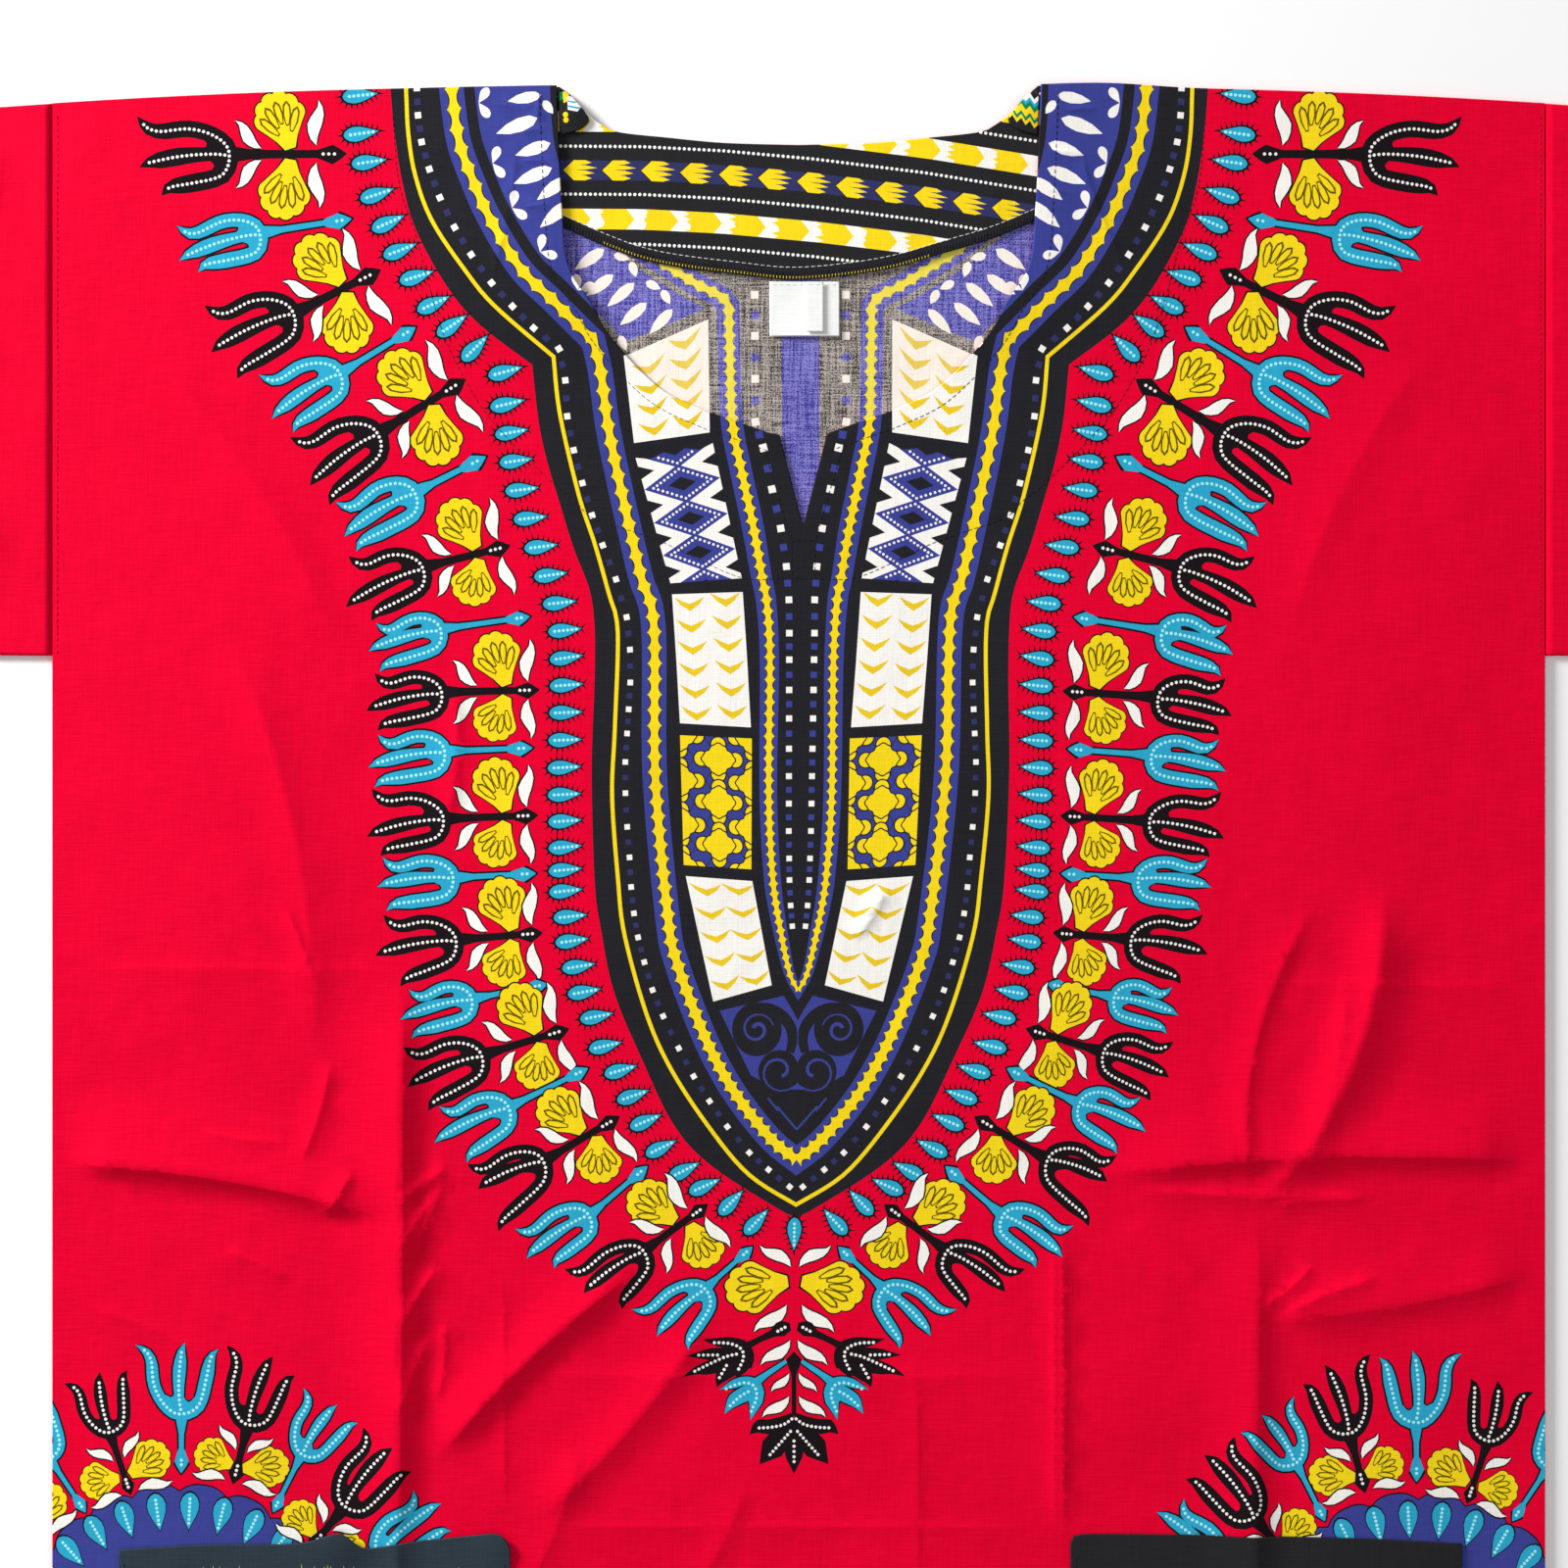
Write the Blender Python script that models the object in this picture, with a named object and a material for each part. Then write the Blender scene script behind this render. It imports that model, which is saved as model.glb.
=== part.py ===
"""A dashiki shirt laid flat on a surface, front up.

The shirt lies in the XY plane: +X is to the right of someone who looks down on
it, +Y points to the shoulders and +Z up. The origin is under the middle of the
whole shirt, on the surface. Every piece is a wall of cloth WALL thick. The back
lies flat. The front lies on it and rises over the facing and along its creases.
Positions on the body are given by x and by the depth d below the shoulder line.
"""

import math

import bmesh
import bpy
import numpy as np
from mathutils import Vector
from mathutils.geometry import delaunay_2d_cdt

# ------------------------------------------------------------------ sizes, m
LENGTH = 0.850
CHEST_WIDTH = 0.686
SPAN = 1.166
WALL = 0.0012
LABEL_WALL = 0.0010
GAP = 0.0003

NECK_HALF = 0.111
SHOULDER_SLOPE = 0.14  # drop per square metre of distance from the neck, 1/m
SHOULDER_RISE = 0.0016
SHOULDER_RISE_X = 0.140
SHOULDER_RISE_REACH = 0.028

ARMHOLE = 0.254
CUFF = 0.228
SLIT_X = 0.002

FACING_LIFT = 0.0015  # the facing's ends raise the front by a wall and a gap
FACING_REACH_X = 0.132
FACING_REACH_D = 0.094
FACING_FADE = 0.42
EDGE_LIFT = 0.0011  # the neck edge stands off the facing a little more
EDGE_LIFT_REACH = 0.030

POCKET_GAPE = 0.0030
POCKET_GAPE_X = -0.209
POCKET_GAPE_REACH_X = 0.013
POCKET_GAPE_REACH_D = 0.024
POCKET_CORNER = 0.0022
POCKET_CORNER_REACH = 0.020
POCKET_TOP_D = 0.664

OUTLINE_STEP = 0.024
CURVE_STEP = 0.0075
FIELD_STEP = 0.026
CREASE_STEP = 0.013
CLEAR_OF_POINTS = 0.0085
SLEEVE_STATIONS = 14
SLEEVE_ACROSS = 12

# -------------------------------------------------------------- outlines, mm
# Front neck edge, one half, from the shoulder to the slit's mouth.
NECK_FRONT = (  # half width, depth
    (111.0, 0.0), (110.2, 22.0), (108.6, 55.0), (105.8, 82.0), (95.5, 99.0),
    (86.0, 115.5), (64.0, 138.0), (43.0, 148.6), (34.5, 151.6), (11.0, 160.0),
)
SLIT_TIP_D = 202.0
SLIT_MOUTH_HALF = 10.8

# Back neck edge, one half, from the shoulder to the middle.
NECK_BACK = (  # half width, depth
    (110.0, 0.0), (104.0, 4.5), (97.5, 12.0), (91.0, 17.0), (83.0, 20.8),
    (60.0, 23.4), (34.0, 25.8), (0.0, 26.8),
)

# Facing on the inside of the back: its lower edge, left to right.
FACING_LOWER = (  # x, depth
    (-128.0, 55.0), (-108.0, 64.8), (-70.0, 80.0), (-26.0, 86.6), (2.0, 88.6),
    (38.0, 84.4), (65.0, 77.0), (88.0, 70.2), (108.0, 62.0), (128.0, 54.0),
)

# Rolled end of the facing at a neck corner: inner edge, top to bottom.
ROLL_INNER = (  # half width, depth
    (107.0, 2.6), (103.6, 5.4), (97.6, 12.6), (96.2, 16.2), (99.5, 19.6),
    (104.5, 21.6),
)
ROLL_LOW_D = 22.6
ROLL_DOME = 0.0012

# Pockets: sides and bottom in mm, and the top edge as rows.
POCKET_BOTTOM_D = 824.0
POCKET_LEFT_X = (-312.0, -132.2)
POCKET_RIGHT_X = (124.6, 304.4)
POCKET_TOP_LEFT = (  # x, depth
    (-312.0, 671.6), (-274.0, 669.4), (-232.0, 668.8), (-218.0, 665.4),
    (-209.0, 663.4), (-199.0, 670.4), (-182.0, 668.4), (-152.0, 665.4),
    (-140.0, 663.8), (-134.6, 665.6), (-132.2, 670.6),
)
POCKET_TOP_RIGHT = (  # x, depth
    (124.6, 668.6), (127.0, 665.0), (142.0, 664.4), (182.0, 664.8),
    (226.0, 665.6), (264.0, 666.6), (304.4, 669.0),
)

# Label under the middle of the facing, and the narrow tab on it.
LABEL_X = (-13.4, 18.8)
LABEL_D = (89.4, 114.8)
TAB_X = (3.4, 11.4)
TAB_D = (90.0, 113.0)

# ------------------------------------------------------------- creases, mm
# Each rises to a crest along a bowed line and falls to its left and right,
# as seen by someone going from its start to its end.
CREASES = (
    # x0, d0, x1, d1, bow, height, left width, right width
    (-182.0, 402.0, -184.0, 690.0, 1.0, 5.2, 13.0, 34.0),  # long fold, left
    (-184.0, 640.0, -180.0, 846.0, -1.5, 2.6, 12.0, 24.0),  # on to the hem
    (-352.0, 494.0, -180.0, 522.0, 7.0, 5.0, 42.0, 10.0),  # across, left
    (268.0, 362.0, 210.0, 516.0, 17.0, 5.0, 24.0, 20.0),  # arc, right
    (252.0, 404.0, 229.0, 506.0, 5.0, 3.0, 30.0, 14.0),  # beside the arc
    (352.0, 494.0, 132.0, 500.0, -6.0, 4.4, 11.0, 40.0),  # across, right
    (211.0, 512.0, 209.0, 760.0, -1.0, 3.6, 16.0, 34.0),  # down, right
    (-70.0, 540.0, -168.0, 632.0, -5.0, 4.4, 13.0, 24.0),  # slant, low left
    (-38.0, 560.0, -124.0, 660.0, 6.0, 2.6, 16.0, 22.0),  # beside the slant
    (121.0, 516.0, 121.5, 672.0, 0.5, 1.5, 6.0, 9.0),  # pressed, low right
    (350.0, 540.0, 208.0, 566.0, 5.0, 3.0, 14.0, 34.0),  # below the arc
    (-262.0, 250.0, -222.0, 452.0, 12.0, 1.6, 18.0, 18.0),  # faint, left
    (60.0, 700.0, -96.0, 812.0, 8.0, 2.6, 26.0, 20.0),  # above the hem
)
SLEEVE_CREASES = (  # same columns, on the right sleeve; the left mirrors them
    (360.0, 30.0, 470.0, 96.0, 8.0, 3.6, 16.0, 28.0),
    (352.0, 214.0, 540.0, 150.0, -9.0, 3.2, 24.0, 16.0),
    (505.0, 60.0, 588.0, 176.0, 6.0, 2.6, 20.0, 18.0),
)
CREST_ROUNDING = 0.07
CREASE_TAPER = 0.22

SWELLS = (
    # x, depth, reach x, reach d, height, mm
    (-255.0, 330.0, 62.0, 130.0, 1.4),
    (-262.0, 600.0, 52.0, 70.0, 1.8),
    (-70.0, 650.0, 80.0, 46.0, 1.6),
    (40.0, 720.0, 90.0, 60.0, 1.4),
    (165.0, 590.0, 46.0, 60.0, 1.9),
    (262.0, 620.0, 46.0, 70.0, 1.6),
    (268.0, 250.0, 56.0, 110.0, 1.3),
    (-120.0, 420.0, 60.0, 120.0, 0.9),
    (110.0, 380.0, 60.0, 130.0, 0.9),
    (10.0, 480.0, 70.0, 70.0, 1.0),
)

COLOURS = {  # node: (linear colour, roughness)
    "front_panel": ((0.76, 0.004, 0.028), 0.82),
    "back_panel": ((0.66, 0.01, 0.035), 0.86),
    "sleeve_left": ((0.76, 0.004, 0.028), 0.82),
    "sleeve_right": ((0.76, 0.004, 0.028), 0.82),
    "pocket_left": ((0.020, 0.023, 0.027), 0.84),
    "pocket_right": ((0.020, 0.023, 0.027), 0.84),
    "back_neck_facing": ((0.020, 0.020, 0.021), 0.84),
    "facing_roll_left": ((0.016, 0.10, 0.09), 0.84),
    "facing_roll_right": ((0.42, 0.45, 0.03), 0.84),
    "size_label": ((0.86, 0.86, 0.84), 0.60),
    "care_tab": ((0.90, 0.88, 0.86), 0.60),
}

MM = 0.001
SIDE = CHEST_WIDTH / 2
END = SPAN / 2


# ------------------------------------------------------------------- fields
def smooth(t):
    t = np.clip(t, 0.0, 1.0)
    return t * t * (3 - 2 * t)


def shoulder_depth(x):
    """How far the shoulder edge is below its level at the neck; x in m."""
    away = np.maximum(np.abs(x) - NECK_HALF, 0.0)
    rise = np.exp(-(((x - SHOULDER_RISE_X) / SHOULDER_RISE_REACH) ** 2))
    return SHOULDER_SLOPE * away * away - SHOULDER_RISE * rise


def shoulder_stations():
    """The x positions of the shoulder's points, neck to armhole."""
    steps = round((SIDE - NECK_HALF) / OUTLINE_STEP)
    return np.linspace(NECK_HALF, SIDE, steps + 1)


PEAK = -float(shoulder_depth(shoulder_stations()).min())
SHOULDER_Y = LENGTH / 2 - PEAK


def on_body(x, d):
    """The place of a point given in mm by x and depth, in m."""
    return (x * MM, SHOULDER_Y - d * MM)


def crease_height(x, d, rows):
    """The rise of the creases at x and depth d, in m.

    Where two cross, the root of the sum of their squares joins them smoothly.
    """
    total = np.zeros(np.shape(x))
    for x0, d0, x1, d1, bow, height, left, right in rows:
        along = np.array([x1 - x0, d1 - d0]) * MM
        length = math.hypot(*along)
        along /= length
        u = (x - x0 * MM) * along[0] + (d - d0 * MM) * along[1]
        off = (x - x0 * MM) * along[1] - (d - d0 * MM) * along[0]
        t = np.clip(u / length, 0.0, 1.0)
        off = off - bow * MM * 4 * t * (1 - t)
        width = np.where(off > 0, left, right) * MM
        share = np.abs(off) / width
        share = np.sqrt(share**2 + CREST_ROUNDING**2) - CREST_ROUNDING
        profile = np.clip(1 - share, 0.0, 1.0) ** 2
        ends = smooth(u / (CREASE_TAPER * length))
        ends = ends * smooth((length - u) / (CREASE_TAPER * length))
        total = total + (height * MM * profile * ends) ** 2
    return np.sqrt(total)


def swell_height(x, d):
    total = np.zeros(np.shape(x))
    for cx, cd, rx, rd, height in SWELLS:
        away = ((x / MM - cx) / rx) ** 2 + ((d / MM - cd) / rd) ** 2
        total = total + height * MM * np.exp(-away)
    return total


def facing_lift(x, d):
    """How far the facing under it raises the front, in m."""
    away = np.maximum(np.abs(x) / FACING_REACH_X, d / FACING_REACH_D)
    over_facing = FACING_LIFT * (1 - smooth((away - 1) / FACING_FADE))
    from_edge = (np.abs(x) - NECK_HALF) / EDGE_LIFT_REACH
    lower = 1 - smooth((d - 0.080) / 0.060)
    return over_facing + EDGE_LIFT * (1 - smooth(from_edge)) * lower


def side_fade(x):
    """Creases and swells run out at the side seams."""
    return smooth((SIDE - np.abs(x)) / 0.030)


def front_under(x, y):
    """Height of the front's underside, m."""
    d = SHOULDER_Y - y
    rise = crease_height(x, d, CREASES) + swell_height(x, d)
    return WALL + GAP + facing_lift(x, d) + rise * side_fade(x)


def pocket_lift(x, y):
    """The pocket's mouth gapes a little and its inner corner lifts."""
    below = SHOULDER_Y - y - POCKET_TOP_D
    gape = np.exp(-(((x - POCKET_GAPE_X) / POCKET_GAPE_REACH_X) ** 2))
    gape = gape * POCKET_GAPE * (1 - smooth(below / POCKET_GAPE_REACH_D))
    corner_x = POCKET_LEFT_X[1] * MM
    reach = np.hypot(x - corner_x, below) / POCKET_CORNER_REACH
    return gape + POCKET_CORNER * (1 - smooth(reach))


def sleeve_rise(x, y):
    d = SHOULDER_Y - y
    inner = smooth((np.abs(x) - SIDE) / 0.030)
    return crease_height(np.abs(x), d, SLEEVE_CREASES) * inner


# ----------------------------------------------------------------- outlines
def smooth_line(rows, step):
    """Points about step apart on a smooth line through rows, in m."""
    rows = [Vector(r) * MM for r in rows]
    dense = []
    for i in range(len(rows) - 1):
        a, b = rows[max(i - 1, 0)], rows[i]
        c, e = rows[i + 1], rows[min(i + 2, len(rows) - 1)]
        for k in range(16):
            t = k / 16
            dense.append(
                0.5
                * (
                    2 * b
                    + (c - a) * t
                    + (2 * a - 5 * b + 4 * c - e) * t**2
                    + (3 * b - a - 3 * c + e) * t**3
                )
            )
    dense.append(rows[-1])
    runs = [0.0]
    for a, b in zip(dense, dense[1:]):
        runs.append(runs[-1] + (b - a).length)
    count = max(2, round(runs[-1] / step))
    spots = np.linspace(0, runs[-1], count + 1)
    xs = np.interp(spots, runs, [p.x for p in dense])
    ds = np.interp(spots, runs, [p.y for p in dense])
    return list(zip(xs.tolist(), ds.tolist()))


def straight(a, b, step):
    """Points from a up to, and not with, b."""
    a, b = Vector(a), Vector(b)
    count = max(1, round((b - a).length / step))
    return [tuple(a.lerp(b, i / count)) for i in range(count)]


def place(points):
    """Turns (x, depth) in m into (x, y)."""
    return [(x, SHOULDER_Y - d) for x, d in points]


def shoulder(side):
    """The shoulder edge from the armhole to the neck, as (x, depth)."""
    xs = side * shoulder_stations()[::-1]
    return [(float(x), float(shoulder_depth(x))) for x in xs]


def mirrored(points):
    return [(-x, d) for x, d in reversed(points)]


def neck_front_line():
    """The front neck edge from the right shoulder round to the left."""
    half = smooth_line(NECK_FRONT, CURVE_STEP)
    half[0] = (half[0][0], float(shoulder_depth(NECK_HALF)))
    other = mirrored(half)
    other[-1] = (other[-1][0], float(shoulder_depth(-NECK_HALF)))
    mouth_d = half[-1][1]
    tip = (SLIT_X, SLIT_TIP_D * MM)
    mouth_right = (SLIT_X + SLIT_MOUTH_HALF * MM, mouth_d)
    mouth_left = (SLIT_X - SLIT_MOUTH_HALF * MM, mouth_d)
    down = straight(mouth_right, tip, CURVE_STEP)
    up = straight(tip, mouth_left, CURVE_STEP)
    return half[:-1] + down + up + [mouth_left] + other[1:]


def neck_back_line():
    half = smooth_line(NECK_BACK, CURVE_STEP)
    half[0] = (half[0][0], float(shoulder_depth(half[0][0])))
    other = mirrored(half)
    other[-1] = (other[-1][0], float(shoulder_depth(other[-1][0])))
    return half + other[1:]


def panel_outline(neck):
    """A body panel's outline, as (x, y), counter-clockwise from the hem."""
    hem_d = SHOULDER_Y + LENGTH / 2
    armhole_d = float(shoulder_depth(SIDE))
    left_d = float(shoulder_depth(-SIDE))
    points = straight((-SIDE, hem_d), (SIDE, hem_d), OUTLINE_STEP)
    points += straight((SIDE, hem_d), (SIDE, armhole_d), OUTLINE_STEP)
    points += shoulder(1)[:-1] + neck + shoulder(-1)[::-1][1:-1]
    points += straight((-SIDE, left_d), (-SIDE, hem_d), OUTLINE_STEP)
    return place(points)


def pocket_outline(top, sides):
    """A pocket's outline, as (x, y), counter-clockwise from its low left."""
    bottom = POCKET_BOTTOM_D * MM
    left, right = (s * MM for s in sides)
    edge = smooth_line(top, CURVE_STEP * 1.2)
    points = straight((left, bottom), (right, bottom), OUTLINE_STEP)
    points += straight((right, bottom), edge[-1], OUTLINE_STEP)
    points += edge[::-1][:-1]
    points += straight(edge[0], (left, bottom), OUTLINE_STEP)
    return place(points)


def inside(point, outline):
    """Whether a point is inside a closed outline."""
    x, y = point
    within = False
    for (x0, y0), (x1, y1) in zip(outline, outline[1:] + outline[:1]):
        if (y0 > y) != (y1 > y) and x < (x1 - x0) * (y - y0) / (y1 - y0) + x0:
            within = not within
    return within


# ------------------------------------------------------------------- meshes
class Plan:
    """A flat plan of a panel: points, and lines that faces keep to."""

    def __init__(self, outline):
        self.outline = outline
        self.points, self.edges = [], []
        self.line(outline, closed=True)

    def line(self, points, closed=False):
        first = len(self.points)
        self.points += [tuple(p) for p in points]
        last = len(self.points) - 1
        self.edges += [(i, i + 1) for i in range(first, last)]
        if closed:
            self.edges.append((last, first))

    def spot(self, point, clear):
        """Adds a point if it is inside and clear of the others."""
        near = np.hypot(*(np.array(self.points) - np.array(point)).T).min()
        if near > clear and inside(point, self.outline):
            self.points.append(tuple(point))

    def faces(self):
        flat = [Vector(p) for p in self.points]
        made = delaunay_2d_cdt(flat, self.edges, [], 0, 1e-6)
        corners = [(v.x, v.y) for v in made[0]]
        kept = []
        for face in made[2]:
            middle = np.mean([corners[i] for i in face], axis=0)
            if inside(tuple(middle), self.outline):
                kept.append(list(face))
        return corners, kept


def make_object(mesh_from, name):
    mesh = bpy.data.meshes.new(name)
    mesh_from.to_mesh(mesh)
    mesh_from.free()
    colour, roughness = COLOURS[name]
    material = bpy.data.materials.new(name)
    material.use_nodes = True
    shader = material.node_tree.nodes["Principled BSDF"]
    shader.inputs["Base Color"].default_value = (*colour, 1.0)
    shader.inputs["Roughness"].default_value = roughness
    shader.inputs["Metallic"].default_value = 0.0
    material.diffuse_color = (*colour, 1.0)
    mesh.materials.append(material)
    made = bpy.data.objects.new(name, mesh)
    bpy.context.scene.collection.objects.link(made)
    return made


def cloth_wall(name, corners, faces, under, wall=WALL):
    """A wall of cloth whose underside is under(x, y) over a flat plan."""
    used = sorted({i for face in faces for i in face})
    xs = np.array([corners[i][0] for i in used])
    ys = np.array([corners[i][1] for i in used])
    zs = under(xs, ys) * np.ones(len(used))
    shape = bmesh.new()
    verts = dict(zip(used, (shape.verts.new(p) for p in zip(xs, ys, zs))))
    for face in faces:
        shape.faces.new([verts[i] for i in face])
    grown = bmesh.ops.extrude_face_region(shape, geom=shape.faces[:])
    raised = [g for g in grown["geom"] if isinstance(g, bmesh.types.BMVert)]
    bmesh.ops.translate(shape, verts=raised, vec=(0, 0, wall))
    bmesh.ops.recalc_face_normals(shape, faces=shape.faces[:])
    return make_object(shape, name)


def flat_wall(name, outline, floor, wall=WALL):
    """A flat wall of cloth with its underside at height floor."""
    faces = [list(range(len(outline)))]
    return cloth_wall(name, outline, faces, lambda x, y: floor, wall)


def crease_lines(plan, rows):
    """Draws each crest in the plan and sets points beside it."""
    beside = []
    for x0, d0, x1, d1, bow, _, left, right in rows:
        start, end = Vector((x0, d0)) * MM, Vector((x1, d1)) * MM
        along = (end - start).normalized()
        across = Vector((along.y, -along.x))
        count = max(3, round((end - start).length / CREASE_STEP))
        crest = []
        for i in range(count + 1):
            t = i / count
            spot = start.lerp(end, t) + across * (bow * MM * 4 * t * (1 - t))
            here = (spot.x, SHOULDER_Y - spot.y)
            if inside(here, plan.outline) and abs(spot.x) < SIDE - 0.006:
                crest.append(here)
            for off in (left, left * 0.45, -right * 0.45, -right):
                side = spot + across * (off * MM)
                beside.append((side.x, SHOULDER_Y - side.y))
        plan.line(crest)
    for point in beside:
        plan.spot(point, CLEAR_OF_POINTS)


def front_plan(pockets):
    plan = Plan(panel_outline(neck_front_line()))
    for outline in pockets:
        plan.line(outline, closed=True)
    crease_lines(plan, CREASES)
    rows = round(LENGTH / (FIELD_STEP * 0.866))
    columns = round(CHEST_WIDTH / FIELD_STEP)
    for r in range(1, rows):
        shift = 0.5 * (r % 2)
        for c in range(1, columns):
            x = -SIDE + (c + shift) * CHEST_WIDTH / (columns + 0.5)
            y = -LENGTH / 2 + r * LENGTH / rows
            plan.spot((x, y), 0.55 * FIELD_STEP)
    return plan.faces()


def body_pieces():
    left = pocket_outline(POCKET_TOP_LEFT, POCKET_LEFT_X)
    right = pocket_outline(POCKET_TOP_RIGHT, POCKET_RIGHT_X)
    corners, faces = front_plan([left, right])
    cloth_wall("front_panel", corners, faces, front_under)
    flat_wall("back_panel", panel_outline(neck_back_line()), 0.0)
    for name, outline in (("pocket_left", left), ("pocket_right", right)):
        patch = []
        for face in faces:
            middle = np.mean([corners[i] for i in face], axis=0)
            if inside(tuple(middle), outline):
                patch.append(face)
        cloth_wall(name, corners, patch, pocket_under)


def pocket_under(x, y):
    return front_under(x, y) + WALL + GAP + pocket_lift(x, y)


def sleeve(name, side):
    """A flattened tube, folded at its upper and lower edges, open at both ends.

    Each section is a loop round the outside and one round the inside.
    """
    stations = np.linspace(SIDE + GAP, END, SLEEVE_STATIONS)
    outer, inner = [], []
    for x in stations:
        share = (x - SIDE) / (END - SIDE)
        top = SHOULDER_Y - float(shoulder_depth(side * x))
        armhole_low = SHOULDER_Y - float(shoulder_depth(side * SIDE)) - ARMHOLE
        cuff_low = SHOULDER_Y - float(shoulder_depth(side * END)) - CUFF
        low = armhole_low + (cuff_low - armhole_low) * share
        outer.append(sleeve_section(side * x, low, top, 0.0, 2 * WALL + GAP))
        inner.append(
            sleeve_section(side * x, low + WALL, top - WALL, WALL, WALL + GAP)
        )
    shape = bmesh.new()
    rings = []
    for loops in (outer, inner):
        rings.append([[shape.verts.new(p) for p in loop] for loop in loops])
    around = len(outer[0])
    for verts in rings:
        for a, b in zip(verts, verts[1:]):
            for i in range(around):
                j = (i + 1) % around
                shape.faces.new((a[i], a[j], b[j], b[i]))
    for end in (0, -1):
        out, into = rings[0][end], rings[1][end]
        for i in range(around):
            j = (i + 1) % around
            shape.faces.new((out[i], out[j], into[j], into[i]))
    bmesh.ops.recalc_face_normals(shape, faces=shape.faces[:])
    return make_object(shape, name)


def sleeve_section(x, low, top, floor, ceiling):
    """A flat loop from low to top: along the floor, back under the ceiling."""
    fold = (ceiling - floor) / 2
    ys = np.linspace(low + fold, top - fold, SLEEVE_ACROSS)
    rise = sleeve_rise(np.full(len(ys), x), ys)
    rise = rise * smooth((ys - low) / 0.016) * smooth((top - ys) / 0.016)
    loop = [(x, float(y), floor) for y in ys]
    loop.append((x, top, (floor + ceiling) / 2))
    loop += [
        (x, float(y), ceiling + float(h)) for y, h in zip(ys[::-1], rise[::-1])
    ]
    loop.append((x, low, (floor + ceiling) / 2))
    return loop


def facing():
    """The striped facing, flat on the inside of the back."""
    lower = smooth_line(FACING_LOWER, CURVE_STEP)
    reach = FACING_LOWER[-1][0] * MM
    upper = neck_back_line()
    right = [(reach, float(shoulder_depth(reach)) + 0.0006)]
    left = [(-reach, float(shoulder_depth(-reach)) + 0.0006)]
    flat_wall(
        "back_neck_facing", place(lower + right + upper + left), WALL + GAP
    )


def roll(name, side):
    """The rolled end of the facing at a neck corner, a small domed patch."""
    inner = smooth_line(ROLL_INNER, 0.0028)
    edge = [p for p in smooth_line(NECK_FRONT, 0.0028) if p[1] < ROLL_LOW_D * MM]
    edge = [(x - 2 * GAP, d) for x, d in edge if d > 0.0022]
    points = [(side * x, d) for x, d in inner + edge[::-1]]
    outline = place(points if side < 0 else points[::-1])
    plan = Plan(outline)
    centre = np.mean(outline, axis=0)
    reach = np.hypot(*(np.array(outline) - centre).T).max()
    for share in (0.0, 0.35, 0.65):
        for k in range(8 if share else 1):
            turn = 2 * math.pi * (k + share) / 8
            spot = centre + share * reach * 0.7 * np.array(
                (math.cos(turn), math.sin(turn))
            )
            plan.spot(tuple(spot), 0.0016)
    corners, faces = plan.faces()
    floor = 2 * (WALL + GAP)

    def under(x, y):
        away = np.hypot(x - centre[0], y - centre[1]) / reach
        return floor + ROLL_DOME * (1 - smooth(away))

    cloth_wall(name, corners, faces, under)


def label(name, xs, ds, floor):
    (x0, x1), (d0, d1) = xs, ds
    outline = [on_body(x0, d1), on_body(x1, d1), on_body(x1, d0), on_body(x0, d0)]
    flat_wall(name, outline, floor, LABEL_WALL)


def main():
    for old in list(bpy.data.objects):
        bpy.data.objects.remove(old)
    body_pieces()
    sleeve("sleeve_left", -1)
    sleeve("sleeve_right", 1)
    facing()
    roll("facing_roll_left", -1)
    roll("facing_roll_right", 1)
    label("size_label", LABEL_X, LABEL_D, WALL + GAP)
    label("care_tab", TAB_X, TAB_D, WALL + 2 * GAP + LABEL_WALL)


main()
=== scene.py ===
"""A dashiki shirt laid flat, front up: its cloth, print, stitching and labels.

The shirt lies in the XY plane with its shoulders towards +Y. The print is drawn
as flat shapes in mm, each in one ink, and later shapes cover earlier ones. It is
cut into the cloth's own faces, so every edge of the print is exact. A place in
the print is (u, d): u to the right of its centre line, d below the shoulders.
"""

import math

import bpy
import numpy as np
from bpy.props import FloatProperty, FloatVectorProperty, PointerProperty
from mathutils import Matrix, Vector, kdtree
from mathutils.geometry import delaunay_2d_cdt


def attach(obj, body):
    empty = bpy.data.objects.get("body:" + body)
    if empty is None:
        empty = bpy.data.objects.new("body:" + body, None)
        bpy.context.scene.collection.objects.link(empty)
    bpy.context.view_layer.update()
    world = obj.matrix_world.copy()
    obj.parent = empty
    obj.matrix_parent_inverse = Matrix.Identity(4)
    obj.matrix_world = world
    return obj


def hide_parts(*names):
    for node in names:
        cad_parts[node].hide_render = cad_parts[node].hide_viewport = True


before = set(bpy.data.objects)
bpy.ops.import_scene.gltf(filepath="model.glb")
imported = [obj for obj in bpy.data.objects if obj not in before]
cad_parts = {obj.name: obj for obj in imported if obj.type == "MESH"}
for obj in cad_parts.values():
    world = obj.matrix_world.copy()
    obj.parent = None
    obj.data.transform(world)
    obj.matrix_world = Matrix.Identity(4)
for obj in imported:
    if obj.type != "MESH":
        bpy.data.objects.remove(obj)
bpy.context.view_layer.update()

bl_info = {
    "name": "Dashiki shirt, laid flat",
    "version": (1, 0, 0),
    "blender": (4, 5, 0),
    "location": "3D View > Sidebar > Shirt",
    "description": "Makes a printed cotton shirt laid flat, piece by piece",
    "category": "Object",
}

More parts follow.
